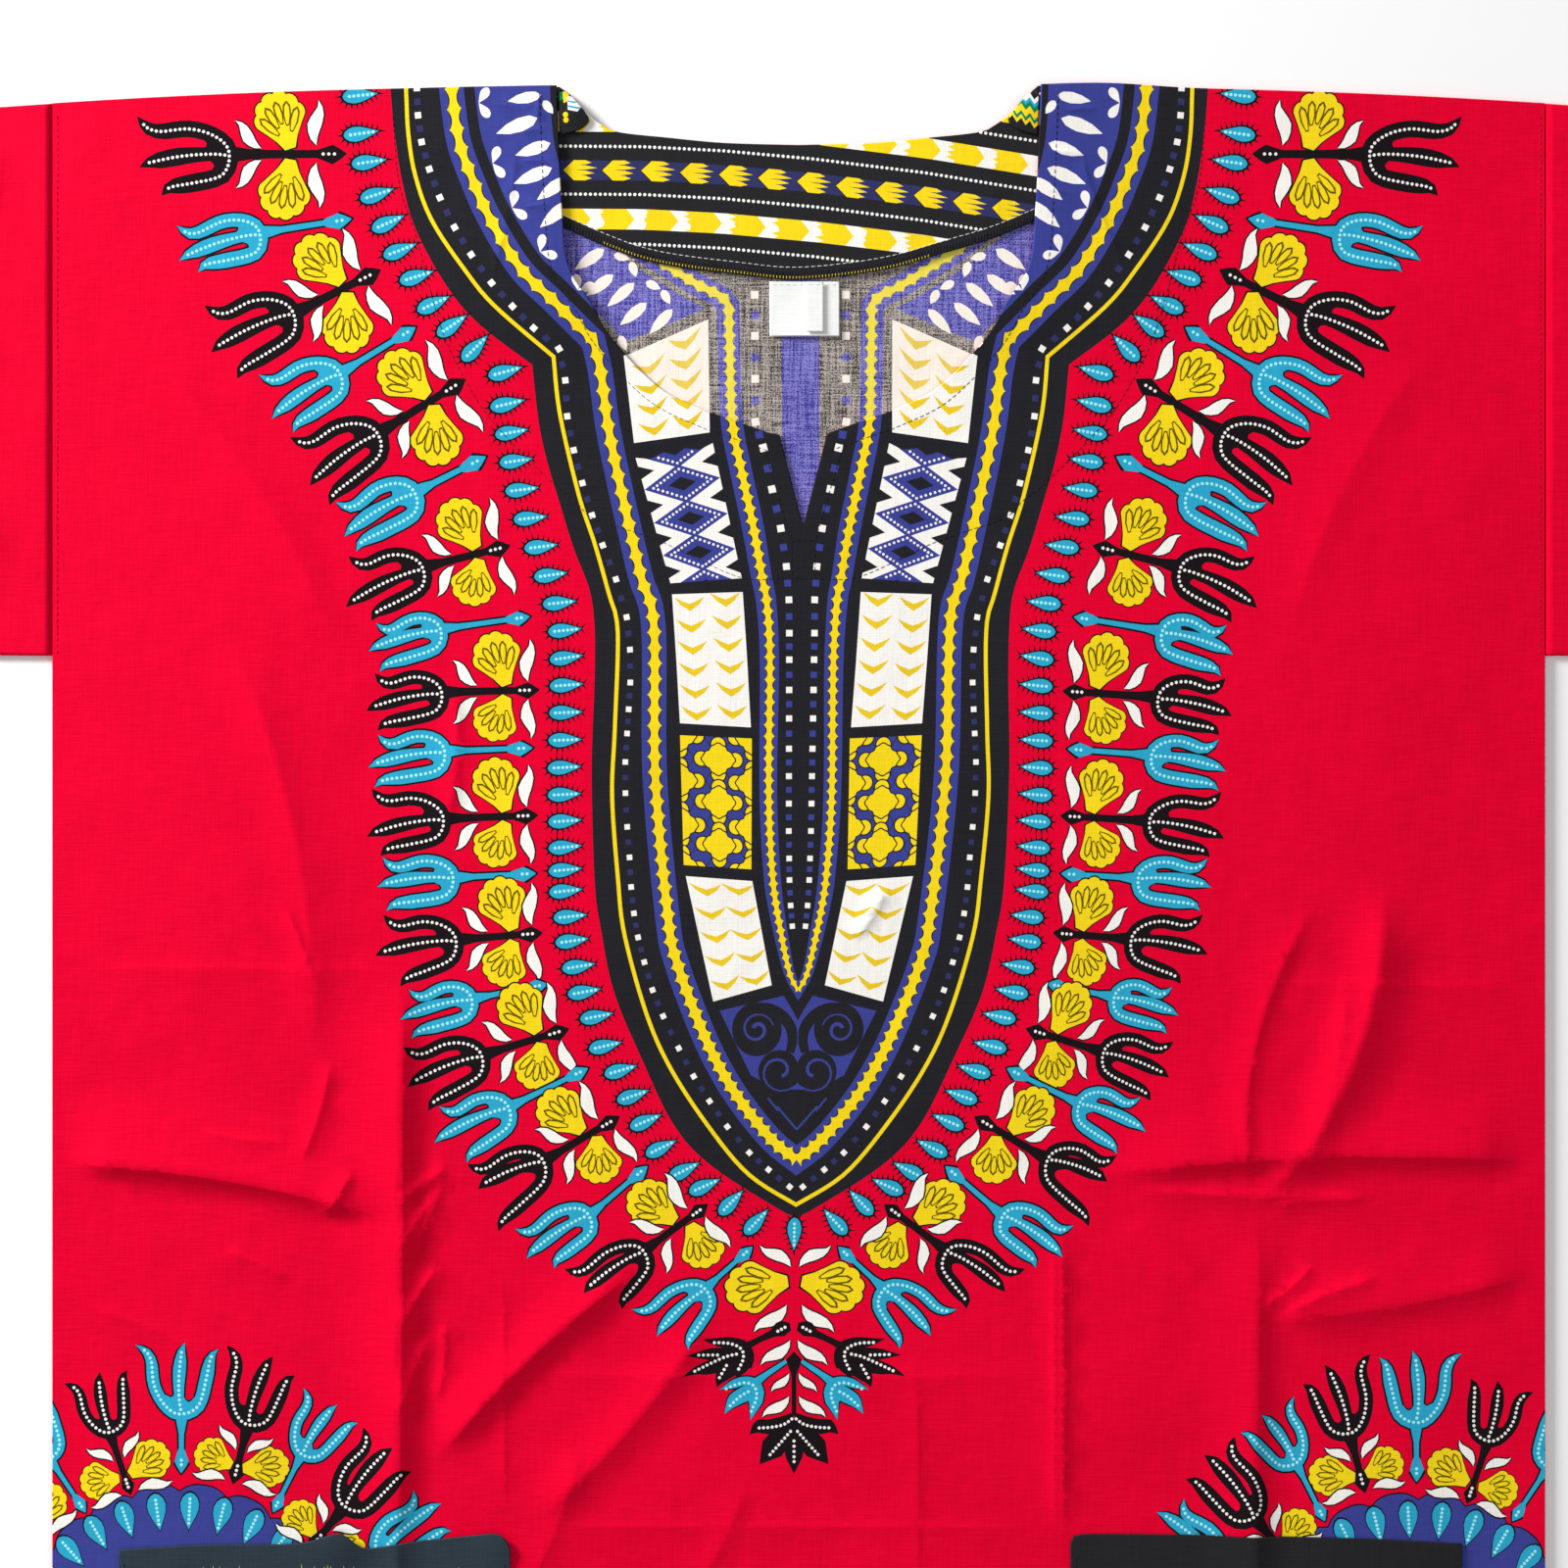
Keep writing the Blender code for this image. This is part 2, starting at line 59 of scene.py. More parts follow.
# ------------------------------------------------------------------ sizes, m
MM = 0.001
LENGTH, CHEST_WIDTH, SPAN = 0.850, 0.686, 1.166
WALL, LABEL_WALL, GAP = 0.0012, 0.0010, 0.0003
NECK_HALF = 0.111
SHOULDER_SLOPE = 0.14
SHOULDER_RISE, SHOULDER_RISE_X, SHOULDER_RISE_REACH = 0.0016, 0.140, 0.028
ARMHOLE, CUFF = 0.254, 0.228
SIDE, END = CHEST_WIDTH / 2, SPAN / 2
FACING_LIFT, FACING_REACH_X, FACING_REACH_D, FACING_FADE = 0.0015, 0.132, 0.094, 0.42
EDGE_LIFT, EDGE_LIFT_REACH = 0.0011, 0.030
POCKET_GAPE, POCKET_GAPE_X = 0.0030, -0.209
POCKET_GAPE_REACH_X, POCKET_GAPE_REACH_D = 0.013, 0.024
POCKET_CORNER, POCKET_CORNER_REACH, POCKET_TOP_D = 0.0022, 0.020, 0.664
EDGE = 0.00045  # a cut edge's rounding
SLIT_X = 0.002
HEM_RISE = 0.0005
CAMERA_X, CAMERA_D, FRAME_WIDTH = -0.00675, 0.3204, 0.720  # the frame's middle, its width
CAMERA_AIM_Z = 0.003  # the height at which the frame has that width
HEM_STITCH_UP, CUFF_STITCH_IN = 20.0, 20.0  # mm

# -------------------------------------------------- outlines of the cloth, mm
NECK_FRONT = (  # half width, depth
    (111, 0), (110.2, 22), (108.6, 55), (105.8, 82), (95.5, 99),
    (86, 115.5), (64, 138), (43, 148.6), (34.5, 151.6), (11, 160),
)
SLIT_TIP_D, SLIT_MOUTH_HALF = 202.0, 10.8
NECK_BACK = (
    (110, 0), (104, 4.5), (97.5, 12), (91, 17), (83, 20.8),
    (60, 23.4), (34, 25.8), (0, 26.8),
)
FACING_LOWER = (  # x, depth
    (-128, 55), (-108, 64.8), (-70, 80), (-26, 86.6), (2, 88.6),
    (38, 84.4), (65, 77), (88, 70.2), (108, 62), (128, 54),
)
ROLL_INNER = (
    (107, 2.6), (103.6, 5.4), (97.6, 12.6), (96.2, 16.2), (99.5, 19.6),
    (104.5, 21.6),
)
ROLL_LOW_D, ROLL_DOME = 22.6, 0.0012
POCKET_BOTTOM_D = 824.0
POCKETS = {
    "left": (
        (-312, 671.6), (-274, 669.4), (-232, 668.8), (-218, 665.4),
        (-209, 663.4), (-199, 670.4), (-182, 668.4), (-152, 665.4),
        (-140, 663.8), (-134.6, 665.6), (-132.2, 670.6),
    ),
    "right": (
        (124.6, 668.6), (127, 665), (142, 664.4), (182, 664.8),
        (226, 665.6), (264, 666.6), (304.4, 669),
    ),
}
FACING_STITCHES = (  # half of the facing's outer stitch line; x, depth
    (186.5, 13), (183.6, 45), (176, 68), (170, 91), (162, 117),
    (150.3, 140), (139, 156), (113.9, 181.4), (102.2, 190.8), (94, 198.5),
    (63.9, 208.8), (28.4, 225), (7.8, 226),
)
LABEL_X, LABEL_D = (-13.4, 18.8), (89.4, 114.8)
TAB_X, TAB_D = (3.4, 11.4), (90.0, 113.0)

# ----------------------------------------------------------------- relief, mm
CREASES = (
    # x0, d0, x1, d1, bow, height, left width, right width
    (-182, 402, -184, 690, 1, 5.2, 13, 34),
    (-184, 640, -180, 846, -1.5, 2.6, 12, 24),
    (-352, 494, -180, 522, 7, 5, 42, 10),
    (268, 362, 210, 516, 17, 5, 24, 20),
    (252, 404, 229, 506, 5, 3, 30, 14),
    (352, 494, 132, 500, -6, 4.4, 11, 40),
    (211, 512, 209, 760, -1, 3.6, 16, 34),
    (-70, 540, -168, 632, -5, 4.4, 13, 24),
    (-38, 560, -124, 660, 6, 2.6, 16, 22),
    (121, 516, 121.5, 672, 0.5, 1.5, 6, 9),
    (350, 540, 208, 566, 5, 3, 14, 34),
    (-262, 250, -222, 452, 12, 1.6, 18, 18),
    (60, 700, -96, 812, 8, 2.6, 26, 20),
)
FINE_CREASES = (  # pressed folds and small wrinkles, too fine for the solids
    (-236, 376, -224, 407, 1, 1, 4, 9),
    (-276, 478, -236, 484, -2, 0.7, 5, 9),
    (-204.5, 497, -218, 519, 1, 1.4, 6, 9),
    (-182, 512, -160, 496, 1, 1.6, 8, 11),
    (-182, 536, -165, 508, 2, 1.7, 8, 12),
    (-181.5, 572, -164, 540, 2, 1.9, 8, 12),
    (-182, 612, -168, 572, 2, 1.5, 8, 12),
    (-136, 542, -135, 658, 0.5, 0.5, 3, 9),
    (240, 372, 207, 512, -14, 1.9, 9, 16),
    (222, 564, 268, 546, 2, 1.5, 5, 10),
    (212, 560, 236, 540, -2, 1.1, 4, 9),
    (214, 514, 262, 511, 1, 1.1, 4, 8),
    (-100, 620, -132, 700, 5, 0.9, 9, 16),
    (-24, 640, -60, 706, 4, 0.8, 9, 16),
    (150, 520, 186, 552, 4, 0.8, 12, 16),
    (-330, 560, -262, 590, 4, 0.8, 10, 14),
    (-330, 405, -186, 406, 0.5, 0.55, 5, 16),
    (214, 412, 330, 414, 0.5, 0.50, 5, 16),
    (-142, 592, 124, 593, 0.6, 0.50, 5, 18),
    (54, 578, 55, 690, 0.4, 0.55, 4, 14),
    (117.4, 520, 117.8, 668, -0.4, 0.70, 4, 6),
    (-214.6, 446, -228.6, 494.6, 2, 1.3, 7, 9),
    (-164, 502.6, -181.4, 541, 2, 1.2, 6, 9),
    (-162, 565.6, -165.6, 604.8, 1, 1, 5, 8),
    (-265.5, 534, -231.8, 549.9, 2, 1, 6, 9),
    (150, 506, 268, 509, -2, 1.2, 5, 9),
    (-158, 272, -162, 344, 3, 1.1, 7, 12),
    (40.5, 367.6, 24.8, 392.4, 1.5, 1, 5, 10),
    (-132, 661, 124, 662, 0.8, 0.45, 3, 9),
    (-129, 24, -142, 92, 2, 0.45, 3, 5),
    (-139.4, 9, -119, 10.2, 0.5, 0.50, 2, 3),
    (-126.7, 21.9, -116.2, 20.1, 0.5, 0.50, 2, 3),
    (-129.2, 35.1, -112.4, 34.8, 0.5, 0.50, 2, 3),
    (-126.8, 56.4, -113.4, 54.6, 0.5, 0.50, 2, 3),
    (-118.8, 3, -120.5, 17, 0.5, 0.60, 2.5, 4),
    (121, 12, 138, 10.4, 0.5, 0.50, 2, 3),
    (115.4, 30, 130, 32, 0.5, 0.50, 2, 3),
    (114, 48, 127.8, 50.2, 0.5, 0.50, 2, 3),
    (128, 26, 150, 84, -2, 0.45, 3, 5),
    (-300, 120, -210, 262, 9, 0.9, 16, 20),
    (292, 118, 226, 250, -8, 0.9, 18, 16),
    (-60, 470, -22, 520, 3, 0.5, 10, 12),
    (-250, 690, -212, 800, 4, 0.9, 12, 14),
    (228, 700, 252, 806, -4, 0.8, 12, 14),
    (-110, 720, -40, 742, 3, 0.8, 12, 16),
    (90, 770, 170, 748, -3, 0.7, 12, 14),
)
SLEEVE_CREASES = (
    (360, 30, 470, 96, 8, 3.6, 16, 28),
    (352, 214, 540, 150, -9, 3.2, 24, 16),
    (505, 60, 588, 176, 6, 2.6, 20, 18),
)
SLEEVE_FINE = (
    (392, 96, 500, 118, 6, 1, 10, 14),
    (420, 40, 560, 58, -5, 0.9, 9, 12),
    (470, 190, 572, 214, 4, 0.8, 9, 12),
)
CREST_ROUNDING, CREASE_TAPER = 0.07, 0.22
SWELLS = (  # x, depth, reach x, reach d, height
    (-255, 330, 62, 130, 1.4), (-262, 600, 52, 70, 1.8),
    (-70, 650, 80, 46, 1.6), (40, 720, 90, 60, 1.4),
    (165, 590, 46, 60, 1.9), (262, 620, 46, 70, 1.6),
    (268, 250, 56, 110, 1.3), (-120, 420, 60, 120, 0.9),
    (110, 380, 60, 130, 0.9), (10, 480, 70, 70, 1),
)

# --------------------------------------------------------- neck print, mm
# Half lines from the shoulder down to a corner, then on to the tip.
BAND_OUTER = (
    ((188.6, -8), (187.7, 2.3), (185.9, 22), (182.3, 45), (176.4, 65.7),
     (162.9, 90.9), (148, 108.9), (123.3, 127.8)),
    ((123.3, 127.8), (120.6, 153), (117, 171), (111.2, 190.8),
     (104.4, 212.9), (97.7, 230.4), (95.4, 245.7), (95, 271.4),
     (95.9, 314.6), (94, 365.4), (90.9, 387), (84.6, 415.8),
     (71.6, 446.4), (56.7, 476.6), (39.2, 495.5), (7.7, 515.7), (0, 519.3)),
)
YELLOW_LINE = (
    ((181, -8), (180.5, 2.3), (179.6, 22), (176.4, 41.4), (168.8, 62),
     (153.5, 85), (140, 101.3), (113.4, 124.2)),
    ((113.4, 124.2), (110.7, 150.3), (102.2, 187.7), (95, 210),
     (88.7, 232.7), (84.6, 250.2), (85.5, 295.7), (86.4, 325.8),
     (83.3, 364), (80.1, 389.3), (69.8, 425.3), (58.5, 450.5),
     (41, 477), (22, 499.5), (0, 513.5)),
)
OUTER_RIBBON = (
    ((160, -8), (159.3, 2.3), (156.2, 25.2), (150.3, 42.3), (142.2, 60.8),
     (128.3, 83.7), (113.4, 98.6), (100.8, 111.2), (95, 116.8)),
    ((95, 116.8), (91.8, 131), (88.2, 158), (81.5, 190.8),
     (73.8, 225), (68, 247.5), (66.6, 317.3), (59.9, 383.4),
     (55.8, 402.3), (47.3, 425.3), (38.3, 445.5), (27, 464.4),
     (11.7, 483.3), (0, 492.8)),
)
INNER_RIBBON = (
    ((106, -8), (104, 26), (94, 54), (76, 72), (59, 83.3),
     (47, 90.8), (36.6, 96), (32.9, 100.5)),
    ((32.9, 100.5), (32.4, 128.1), (31.4, 155), (26.9, 178.8),
     (22, 202.7), (18, 226.6), (16.2, 236), (14.6, 262.8),
     (14.6, 313.4), (14, 338.7), (12.2, 363.9), (10.5, 376.6),
     (8.6, 386.6), (6.6, 396.6), (4.3, 406.4), (2.4, 411.2), (0, 415.2)),
)
OUTER_CUSP = ((0.0, 3.4), (300.0, 3.4), (430.0, 3.7), (490.0, 3.8))  # depth, half width
OUTER_PITCH = (  # depth, from point to point
    (10, 9.3), (60, 9.1), (150, 8), (230, 7.2), (300, 7.1),
    (400, 6), (450, 5.2), (490, 5),
)
INNER_CUSP = (  # depth, half width at the ribbon's points
    (0, 3.3), (200, 3.1), (260, 2.6), (340, 2.5), (370, 2.3),
    (388, 2.2), (404, 2), (414, 1.5),
)
INNER_PITCH = (
    (0, 7.6), (60, 7), (100, 6), (130, 5.4), (300, 5.2),
    (350, 4.7), (400, 4.1),
)
INNER_MARGIN = (  # depth, the blue margin's reach from the ribbon's middle
    (0, 5.5), (205, 5.3), (232, 4.9), (300, 4.4), (366, 4.1),
    (390, 3.4), (412, 2.4),
)
STRIP_HALF = (  # depth, the inner squares' distance from the centre
    (95, 20.9), (154, 20.9), (166, 17.3), (185, 13.4), (203, 9.5),
    (220.5, 7), (236, 5.9), (304, 5.4), (342, 5.1), (366, 4.5),
    (376, 3.9), (386, 3),
)
STRIP_WHITE = (  # depths of the white squares; a blue one lies between each two
    35, 56, 76, 95.4, 114.3, 134.1, 153.9, 166, 185, 203, 220.5,
    235.8, 251.1, 263.3, 277.2, 290.3, 304.2, 316.8, 329.4, 342, 354.6,
    364.5, 376.2, 385.7,
)
UPPER_PANEL = ((81.2, 123.8), (42.3, 106.7), (41.9, 158.9), (76.7, 163.8))
DIAMOND_PANEL = ((76.0, 170.6), (40.5, 163.8), (27.5, 225.9), (60.3, 228.2))
MIDDLE_PANEL = ((59.6, 233.3), (27.1, 232.2), (23.0, 294.4), (55.6, 292.5))
FLOWER_PANEL = ((55.5, 298.0), (22.5, 299.5), (22.1, 359.6), (53.2, 357.6))
LOWER_PANEL = ((52.2, 362.7), (21.6, 365.0), (12.2, 412.8), (39.0, 420.3))
CHEVRON_COLUMNS = {  # share across, first row, pitch of the rows, how many
    "upper": ((0.28, 0.17, 0.218, 4), (0.72, 0.06, 0.189, 5)),
    "middle": ((0.24, 0.045, 0.168, 6), (0.75, 0.020, 0.168, 6)),
    "lower": ((0.27, 0.070, 0.196, 5), (0.76, 0.055, 0.205, 5)),
}
OUTER_WHITE = (  # u, d of the white squares beside the outer ribbon
    (175.6, 0.8), (175.1, 13.3), (173.5, 25.6), (170, 38.1), (165.2, 51.2),
    (158.5, 64.9), (150.9, 77.5), (141.6, 90.5), (132, 101.3), (122.4, 111.2),
    (110.9, 120.6), (108.1, 135), (107.3, 151.5), (104.4, 167.1), (100.5, 182.2),
    (96.1, 197), (91.3, 210.8), (85.3, 226.4), (80.5, 243.8), (78.9, 258.7),
    (78.6, 273.8), (79.2, 286.1), (79.8, 297.2), (80.5, 310.3), (80.3, 324.6),
    (79.3, 340.1), (78.1, 354.1), (77.2, 367.7), (75.8, 379.8), (73.8, 390.8),
    (70.8, 402.2), (66.9, 415), (61.9, 427), (54.6, 441.7), (47.6, 454.6),
    (40.2, 466), (31.9, 477.7), (21.7, 489.6), (12.8, 497.4), (3, 505.3),
)

# ---------------------------------------------------------- fringe print, mm
FORKS = (  # head, foot of the prongs, three tips; black and turquoise by turns
    ((209, 31), (256.9, 31.2), (304, 14), (303, 37), (293, 50)),
    ((206.1, 60.8), (243.6, 66.6), (286, 64), (285, 80), (276.3, 85.2)),
    ((193.5, 84.6), (228.4, 102.2), (273.4, 100.8), (270.4, 122), (258.6, 134.1)),
    ((176.9, 110.7), (207.9, 129.6), (248.8, 132.5), (242.8, 152.6), (233.1, 158.9)),
    ((154.8, 135), (190.4, 157), (234.4, 161.3), (225.4, 183.2), (216.5, 192.2)),
    ((144.9, 170.1), (173.4, 184.5), (213.6, 191), (209.9, 206.8), (204.4, 213.5)),
    ((134.6, 211.1), (169.9, 219.9), (207.9, 216), (209.1, 239), (197.5, 245.3)),
    ((125.1, 243.5), (162, 248.7), (195.4, 246.6), (198.8, 259.4), (193.6, 268.7)),
    ((121.1, 277.2), (161, 278.2), (195.8, 269.8), (199.4, 286.7), (194.2, 295.7)),
    ((123.3, 303.8), (159.2, 305.2), (194.1, 297.9), (198.3, 312.8), (195.3, 321.8)),
    ((121.1, 334.8), (159.5, 336.2), (196.6, 322.7), (198.5, 344.5), (192.3, 353.3)),
    ((121.1, 361.4), (154.8, 363.2), (191.3, 354.2), (193.7, 367.7), (189.3, 378.5)),
    ((118.4, 388.8), (153.2, 391.6), (190.6, 380.7), (194.1, 399.2), (182.5, 413.1)),
    ((115.2, 412.2), (146, 418.3), (178.6, 414.9), (182.1, 428.4), (177, 437)),
    ((105.8, 432.9), (141, 443.7), (180.4, 441), (178.2, 459), (169.1, 470.3)),
    ((96.3, 450.9), (128.8, 467), (164.2, 468.5), (166.3, 485.1), (151.3, 494.1)),
    ((82.1, 473.4), (112.6, 491.4), (151, 495), (146, 506.3), (136.4, 525.6)),
    ((68.5, 495.9), (92, 516), (128.7, 524.7), (123.2, 538.2), (110.6, 542.7)),
    ((41.1, 513.8), (66.6, 532.6), (105.5, 543.2), (96.5, 553.5), (79, 561.2)),
    ((19.8, 532.9), (38.4, 549.8), (74.5, 561.6), (62.8, 573.8), (48.4, 579.6)),
)
DROPS = (  # u, d, tilt in degrees: how far the point is raised
    (201.6, 4.1, 6), (201.2, 21.6, 8), (197.6, 34.7, 8), (194, 49.5, 18),
    (189, 62.6, 24), (183.6, 75.2, 21), (176, 87.3, 17), (168.3, 99.9, 24),
    (159.8, 109.8, 34), (149.4, 120.2, 44), (135.5, 131, 15), (134.6, 145.8, 13),
    (132.8, 158.9, 10), (130.8, 172, 8), (128.2, 185.2, 7), (124.4, 198.3, 6),
    (119.6, 211.4, 7), (115.2, 224.4, 8), (111.2, 237.2, 6), (108.8, 249.8, 6),
    (108, 262.4, 8), (107.8, 275, 4), (108, 287.6, 2), (108.2, 300.2, 2),
    (108.4, 312.8, 3), (108.2, 325.2, 3), (107.8, 337.4, 4), (107.6, 349.4, 5),
    (107.4, 359.8, 5), (107.1, 369.5, 6), (104.9, 381.2, 6), (104, 392.4, 8),
    (100.8, 404.1, 9), (98.1, 415.8, 10), (92.3, 427.1, 11), (88.2, 440.6, 13),
    (81, 451.8, 16), (75.2, 463.5, 19), (69.3, 475.2, 23), (62.1, 487.4, 26),
    (51.3, 497.7, 27), (41.9, 504.9, 24), (29.7, 512.4, 46), (18, 521.3, 47),
)
SHOULDER_LEAVES = (  # u, d, tilt in degrees, length, width
    (126, 5.9, 10, 15.4, 5.4), (129.5, 18.6, 20, 20, 6.6),
    (122.2, 29.4, 19, 16.8, 6), (122.3, 41.6, 22, 18.8, 6.3),
    (113.6, 47.7, 36, 16.6, 6), (112.1, 59.4, 40, 18, 6.3),
    (96.8, 79.1, 35, 16.4, 5.8), (92.2, 91.1, 38, 15.8, 5.6),
    (82.5, 95.4, 41, 16.4, 5.4), (76.8, 104.3, 40, 15.8, 5.4),
    (64.1, 107.7, 47, 15.4, 5.2),
)
SEED_PAIRS = (  # where two seeds meet, and each one's turn from level, degrees
    (147.1, 7.9, 57, -54), (140.8, 35.7, 71, -50), (132, 56.3, 78, -34),
    (119.2, 76.5, 80, -15), (101.9, 94.1, 98, 28),
)
SEEDS = (  # u, d, turn in degrees
    (115.1, 10.2, 127), (82, 78, 164), (76.6, 83.7, 108), (67.6, 91.1, 153),
    (61.7, 96.4, 119), (81.7, 117.6, 113),
)
MEDALLIONS = (((-282.0, 729.5), -1), ((286.5, 733.5), 1))  # middle, which side
DISC_REACH, DISC_DROPS = 85.0, 75.5
CORNER_REACH_U, CORNER_MIDDLE_D, CORNER_REACH_D = 345.0, 700.0, 170.0  # where forks stop
MEDALLION_FORKS = (  # reach and degrees from straight up of a head, foot and tips
    ((93, 0.5), (116, 0.5), (153, -7.5), (153, 1), (151, 6.8)),
    ((92, 15.6), (115.5, 15.4), (153, 8.3), (152.5, 16.3), (147.4, 21)),
    ((86.3, 29.8), (112.5, 29), (143.7, 23.4), (143.6, 30.2), (142, 35.2)),
    ((82.5, 45.8), (104, 44.6), (142, 36.6), (144, 43), (142, 48.6)),
    ((80, 60.5), (103, 59), (137, 51.7), (143.5, 56.7), (141, 62)),
)
PULL = (  # depth; how far across and down the print is pulled at the far right
    (230, 0, 0), (280, -1.5, 2.6), (320, -3.4, 1.6), (360, -4.2, 0.4),
    (400, -6.5, -0.6), (440, -8, -2.2), (480, -7.5, -6), (520, -5, -6),
    (570, 0, 0),
)

INKS = ("red", "black", "turquoise", "blue", "yellow", "white", "olive", "navy", "ice", "gold",
        "jet")
RED, BLACK, TURQUOISE, BLUE, YELLOW, WHITE, OLIVE, NAVY, ICE, GOLD, JET = range(11)
GREEN = OLIVE  # the border cloth has green in olive's place
SPRIGS = (  # ink; each petal's places and half widths; rows of dots
    (BLACK,
     ((((1.6, 569.6), (6, 570.6), (9.6, 572.6), (15.6, 575.4), (23.4, 579.4)),
       (1.9, 3.4, 1.8, 1.4, 1.9)),
      (((22.2, 588), (21, 583.4), (23.4, 578.8), (29.4, 577), (35.4, 576.6),
        (41.8, 575.2)), (2.4, 2.5, 2.6, 2.3, 2, 0.05)),
      (((23.4, 583), (31, 582.6), (39, 582.2), (43.6, 582.4), (49.3, 582.6)),
       (3.4, 3.1, 2.4, 1.6, 0.05)),
      (((23.6, 584.6), (32, 586.6), (40.4, 588.6), (45, 589.6), (51, 592.2)),
       (3.6, 3.3, 2.6, 1.9, 0.05)),
      (((23.8, 585), (29, 589), (33.4, 592.6), (35.4, 597.4)), (3.4, 3.1, 2.6, 0.05)),
      (((22.6, 583.6), (23.6, 588), (26.4, 592.4)), (3, 2.8, 0.6))),
     (((36.5, 576.9), (30.2, 577.2), (25.7, 578.7), (23.4, 581.2), (23.4, 584.8),
       (25.4, 589)),
      ((26.4, 582.2), (32.4, 583.8), (45.5, 589.8)), ((35.1, 582.6), (43.7, 582.4)),
      ((31, 587.4), (34.2, 592.9)), ((4.1, 569.9), (7.4, 571.7)))),
    (TURQUOISE,
     ((((3.6, 585.5), (8, 588.4), (12.6, 591.4), (17.4, 595)), (0.9, 1.1, 1.2, 2)),
      (((19.2, 604.8), (16.6, 599.8), (18, 595.8), (22.6, 594.4), (27.8, 595.9),
        (33.9, 598.3)), (2.4, 2.3, 2.1, 2, 2, 0.05)),
      (((17.8, 597.4), (23, 600.6), (27.8, 603.6), (31.8, 609.4)), (2.8, 3, 2.6, 0.05)),
      (((16.6, 598.6), (17.6, 603.6), (19.9, 612.2)), (2.6, 2.8, 0.05))),
     (((31.1, 598), (27, 596.2), (22.5, 595.2), (18.9, 596.3), (17.3, 599),
       (17.3, 602.6), (19.6, 608.4)), ((21, 599.4), (24.8, 601.6), (29.3, 605.8)))),
    (BLACK,
     ((((0, 581), (0, 584.6), (0, 588.2), (0, 592), (0, 610.6)),
       (0.05, 3.1, 2.2, 1.1, 1.1)),
      (((0, 611.6), (5.4, 614), (11.6, 615.4), (16.2, 615.4), (20.4, 619)),
       (2.4, 2.9, 3, 2.8, 0.05)),
      (((0.6, 614.2), (5.4, 619.8), (10.2, 625.6), (15.8, 632.6)), (3.4, 4.4, 4.8, 0.05)),
      (((0, 612), (0, 620), (0, 629.4), (0, 637)), (3, 4.6, 3.4, 0.05))),
     (((16, 616), (10.6, 615.7), (5.4, 614.7), (2.7, 613.2), (1, 611.9)),
      ((1.6, 617.6), (6, 622.6), (11, 628.2)))),
)


# ------------------------------------------------------------------- fields
def smooth(t):
    t = np.clip(t, 0.0, 1.0)
    return t * t * (3 - 2 * t)


def shoulder_depth(x):
    """How far the shoulder edge is below its level at the neck."""
    away = np.maximum(np.abs(x) - NECK_HALF, 0.0)
    rise = np.exp(-(((x - SHOULDER_RISE_X) / SHOULDER_RISE_REACH) ** 2))
    return SHOULDER_SLOPE * away * away - SHOULDER_RISE * rise


SHOULDER_XS = np.linspace(NECK_HALF, SIDE, 11)
SHOULDER_Y = LENGTH / 2 + float(shoulder_depth(SHOULDER_XS).min())


def crease_height(x, d, rows):
    """The rise of the creases, in m; crossing ones join smoothly."""
    total = np.zeros(np.shape(x))
    for x0, d0, x1, d1, bow, height, left, right in rows:
        along = np.array([x1 - x0, d1 - d0]) * MM
        length = math.hypot(*along)
        along /= length
        u = (x - x0 * MM) * along[0] + (d - d0 * MM) * along[1]
        off = (x - x0 * MM) * along[1] - (d - d0 * MM) * along[0]
        t = np.clip(u / length, 0.0, 1.0)
        off = off - bow * MM * 4 * t * (1 - t)
        width = np.where(off > 0, left, right) * MM
        share = np.abs(off) / width
        share = np.sqrt(share**2 + CREST_ROUNDING**2) - CREST_ROUNDING
        profile = np.clip(1 - share, 0.0, 1.0) ** 2
        ends = smooth(u / (CREASE_TAPER * length))
        ends = ends * smooth((length - u) / (CREASE_TAPER * length))
        total = total + (height * MM * profile * ends) ** 2
    return np.sqrt(total)


def swell_height(x, d):
    total = np.zeros(np.shape(x))
    for cx, cd, rx, rd, height in SWELLS:
        away = ((x / MM - cx) / rx) ** 2 + ((d / MM - cd) / rd) ** 2
        total = total + height * MM * np.exp(-away)
    return total


def facing_lift(x, d):
    """How far the facing under it raises the front."""
    away = np.maximum(np.abs(x) / FACING_REACH_X, d / FACING_REACH_D)
    over_facing = FACING_LIFT * (1 - smooth((away - 1) / FACING_FADE))
    from_edge = (np.abs(x) - NECK_HALF) / EDGE_LIFT_REACH
    lower = 1 - smooth((d - 0.080) / 0.060)
    return over_facing + EDGE_LIFT * (1 - smooth(from_edge)) * lower


def front_under(x, y):
    d = SHOULDER_Y - y
    rise = crease_height(x, d, CREASES) + crease_height(x, d, FINE_CREASES)
    rise = rise + swell_height(x, d)
    fade = smooth((SIDE - np.abs(x)) / 0.030)
    return WALL + GAP + facing_lift(x, d) + rise * fade


def front_top(x, y):
    return front_under(x, y) + WALL


def pocket_lift(x, y):
    """The pocket's mouth gapes a little and its inner corner lifts."""
    below = SHOULDER_Y - y - POCKET_TOP_D
    gape = np.exp(-(((x - POCKET_GAPE_X) / POCKET_GAPE_REACH_X) ** 2))
    gape = gape * POCKET_GAPE * (1 - smooth(below / POCKET_GAPE_REACH_D))
    corner_x = POCKETS["left"][-1][0] * MM
    reach = np.hypot(x - corner_x, below) / POCKET_CORNER_REACH
    return gape + POCKET_CORNER * (1 - smooth(reach))


def pocket_under(x, y):
    return front_top(x, y) + GAP + pocket_lift(x, y)


def pocket_top(x, y):
    return pocket_under(x, y) + WALL


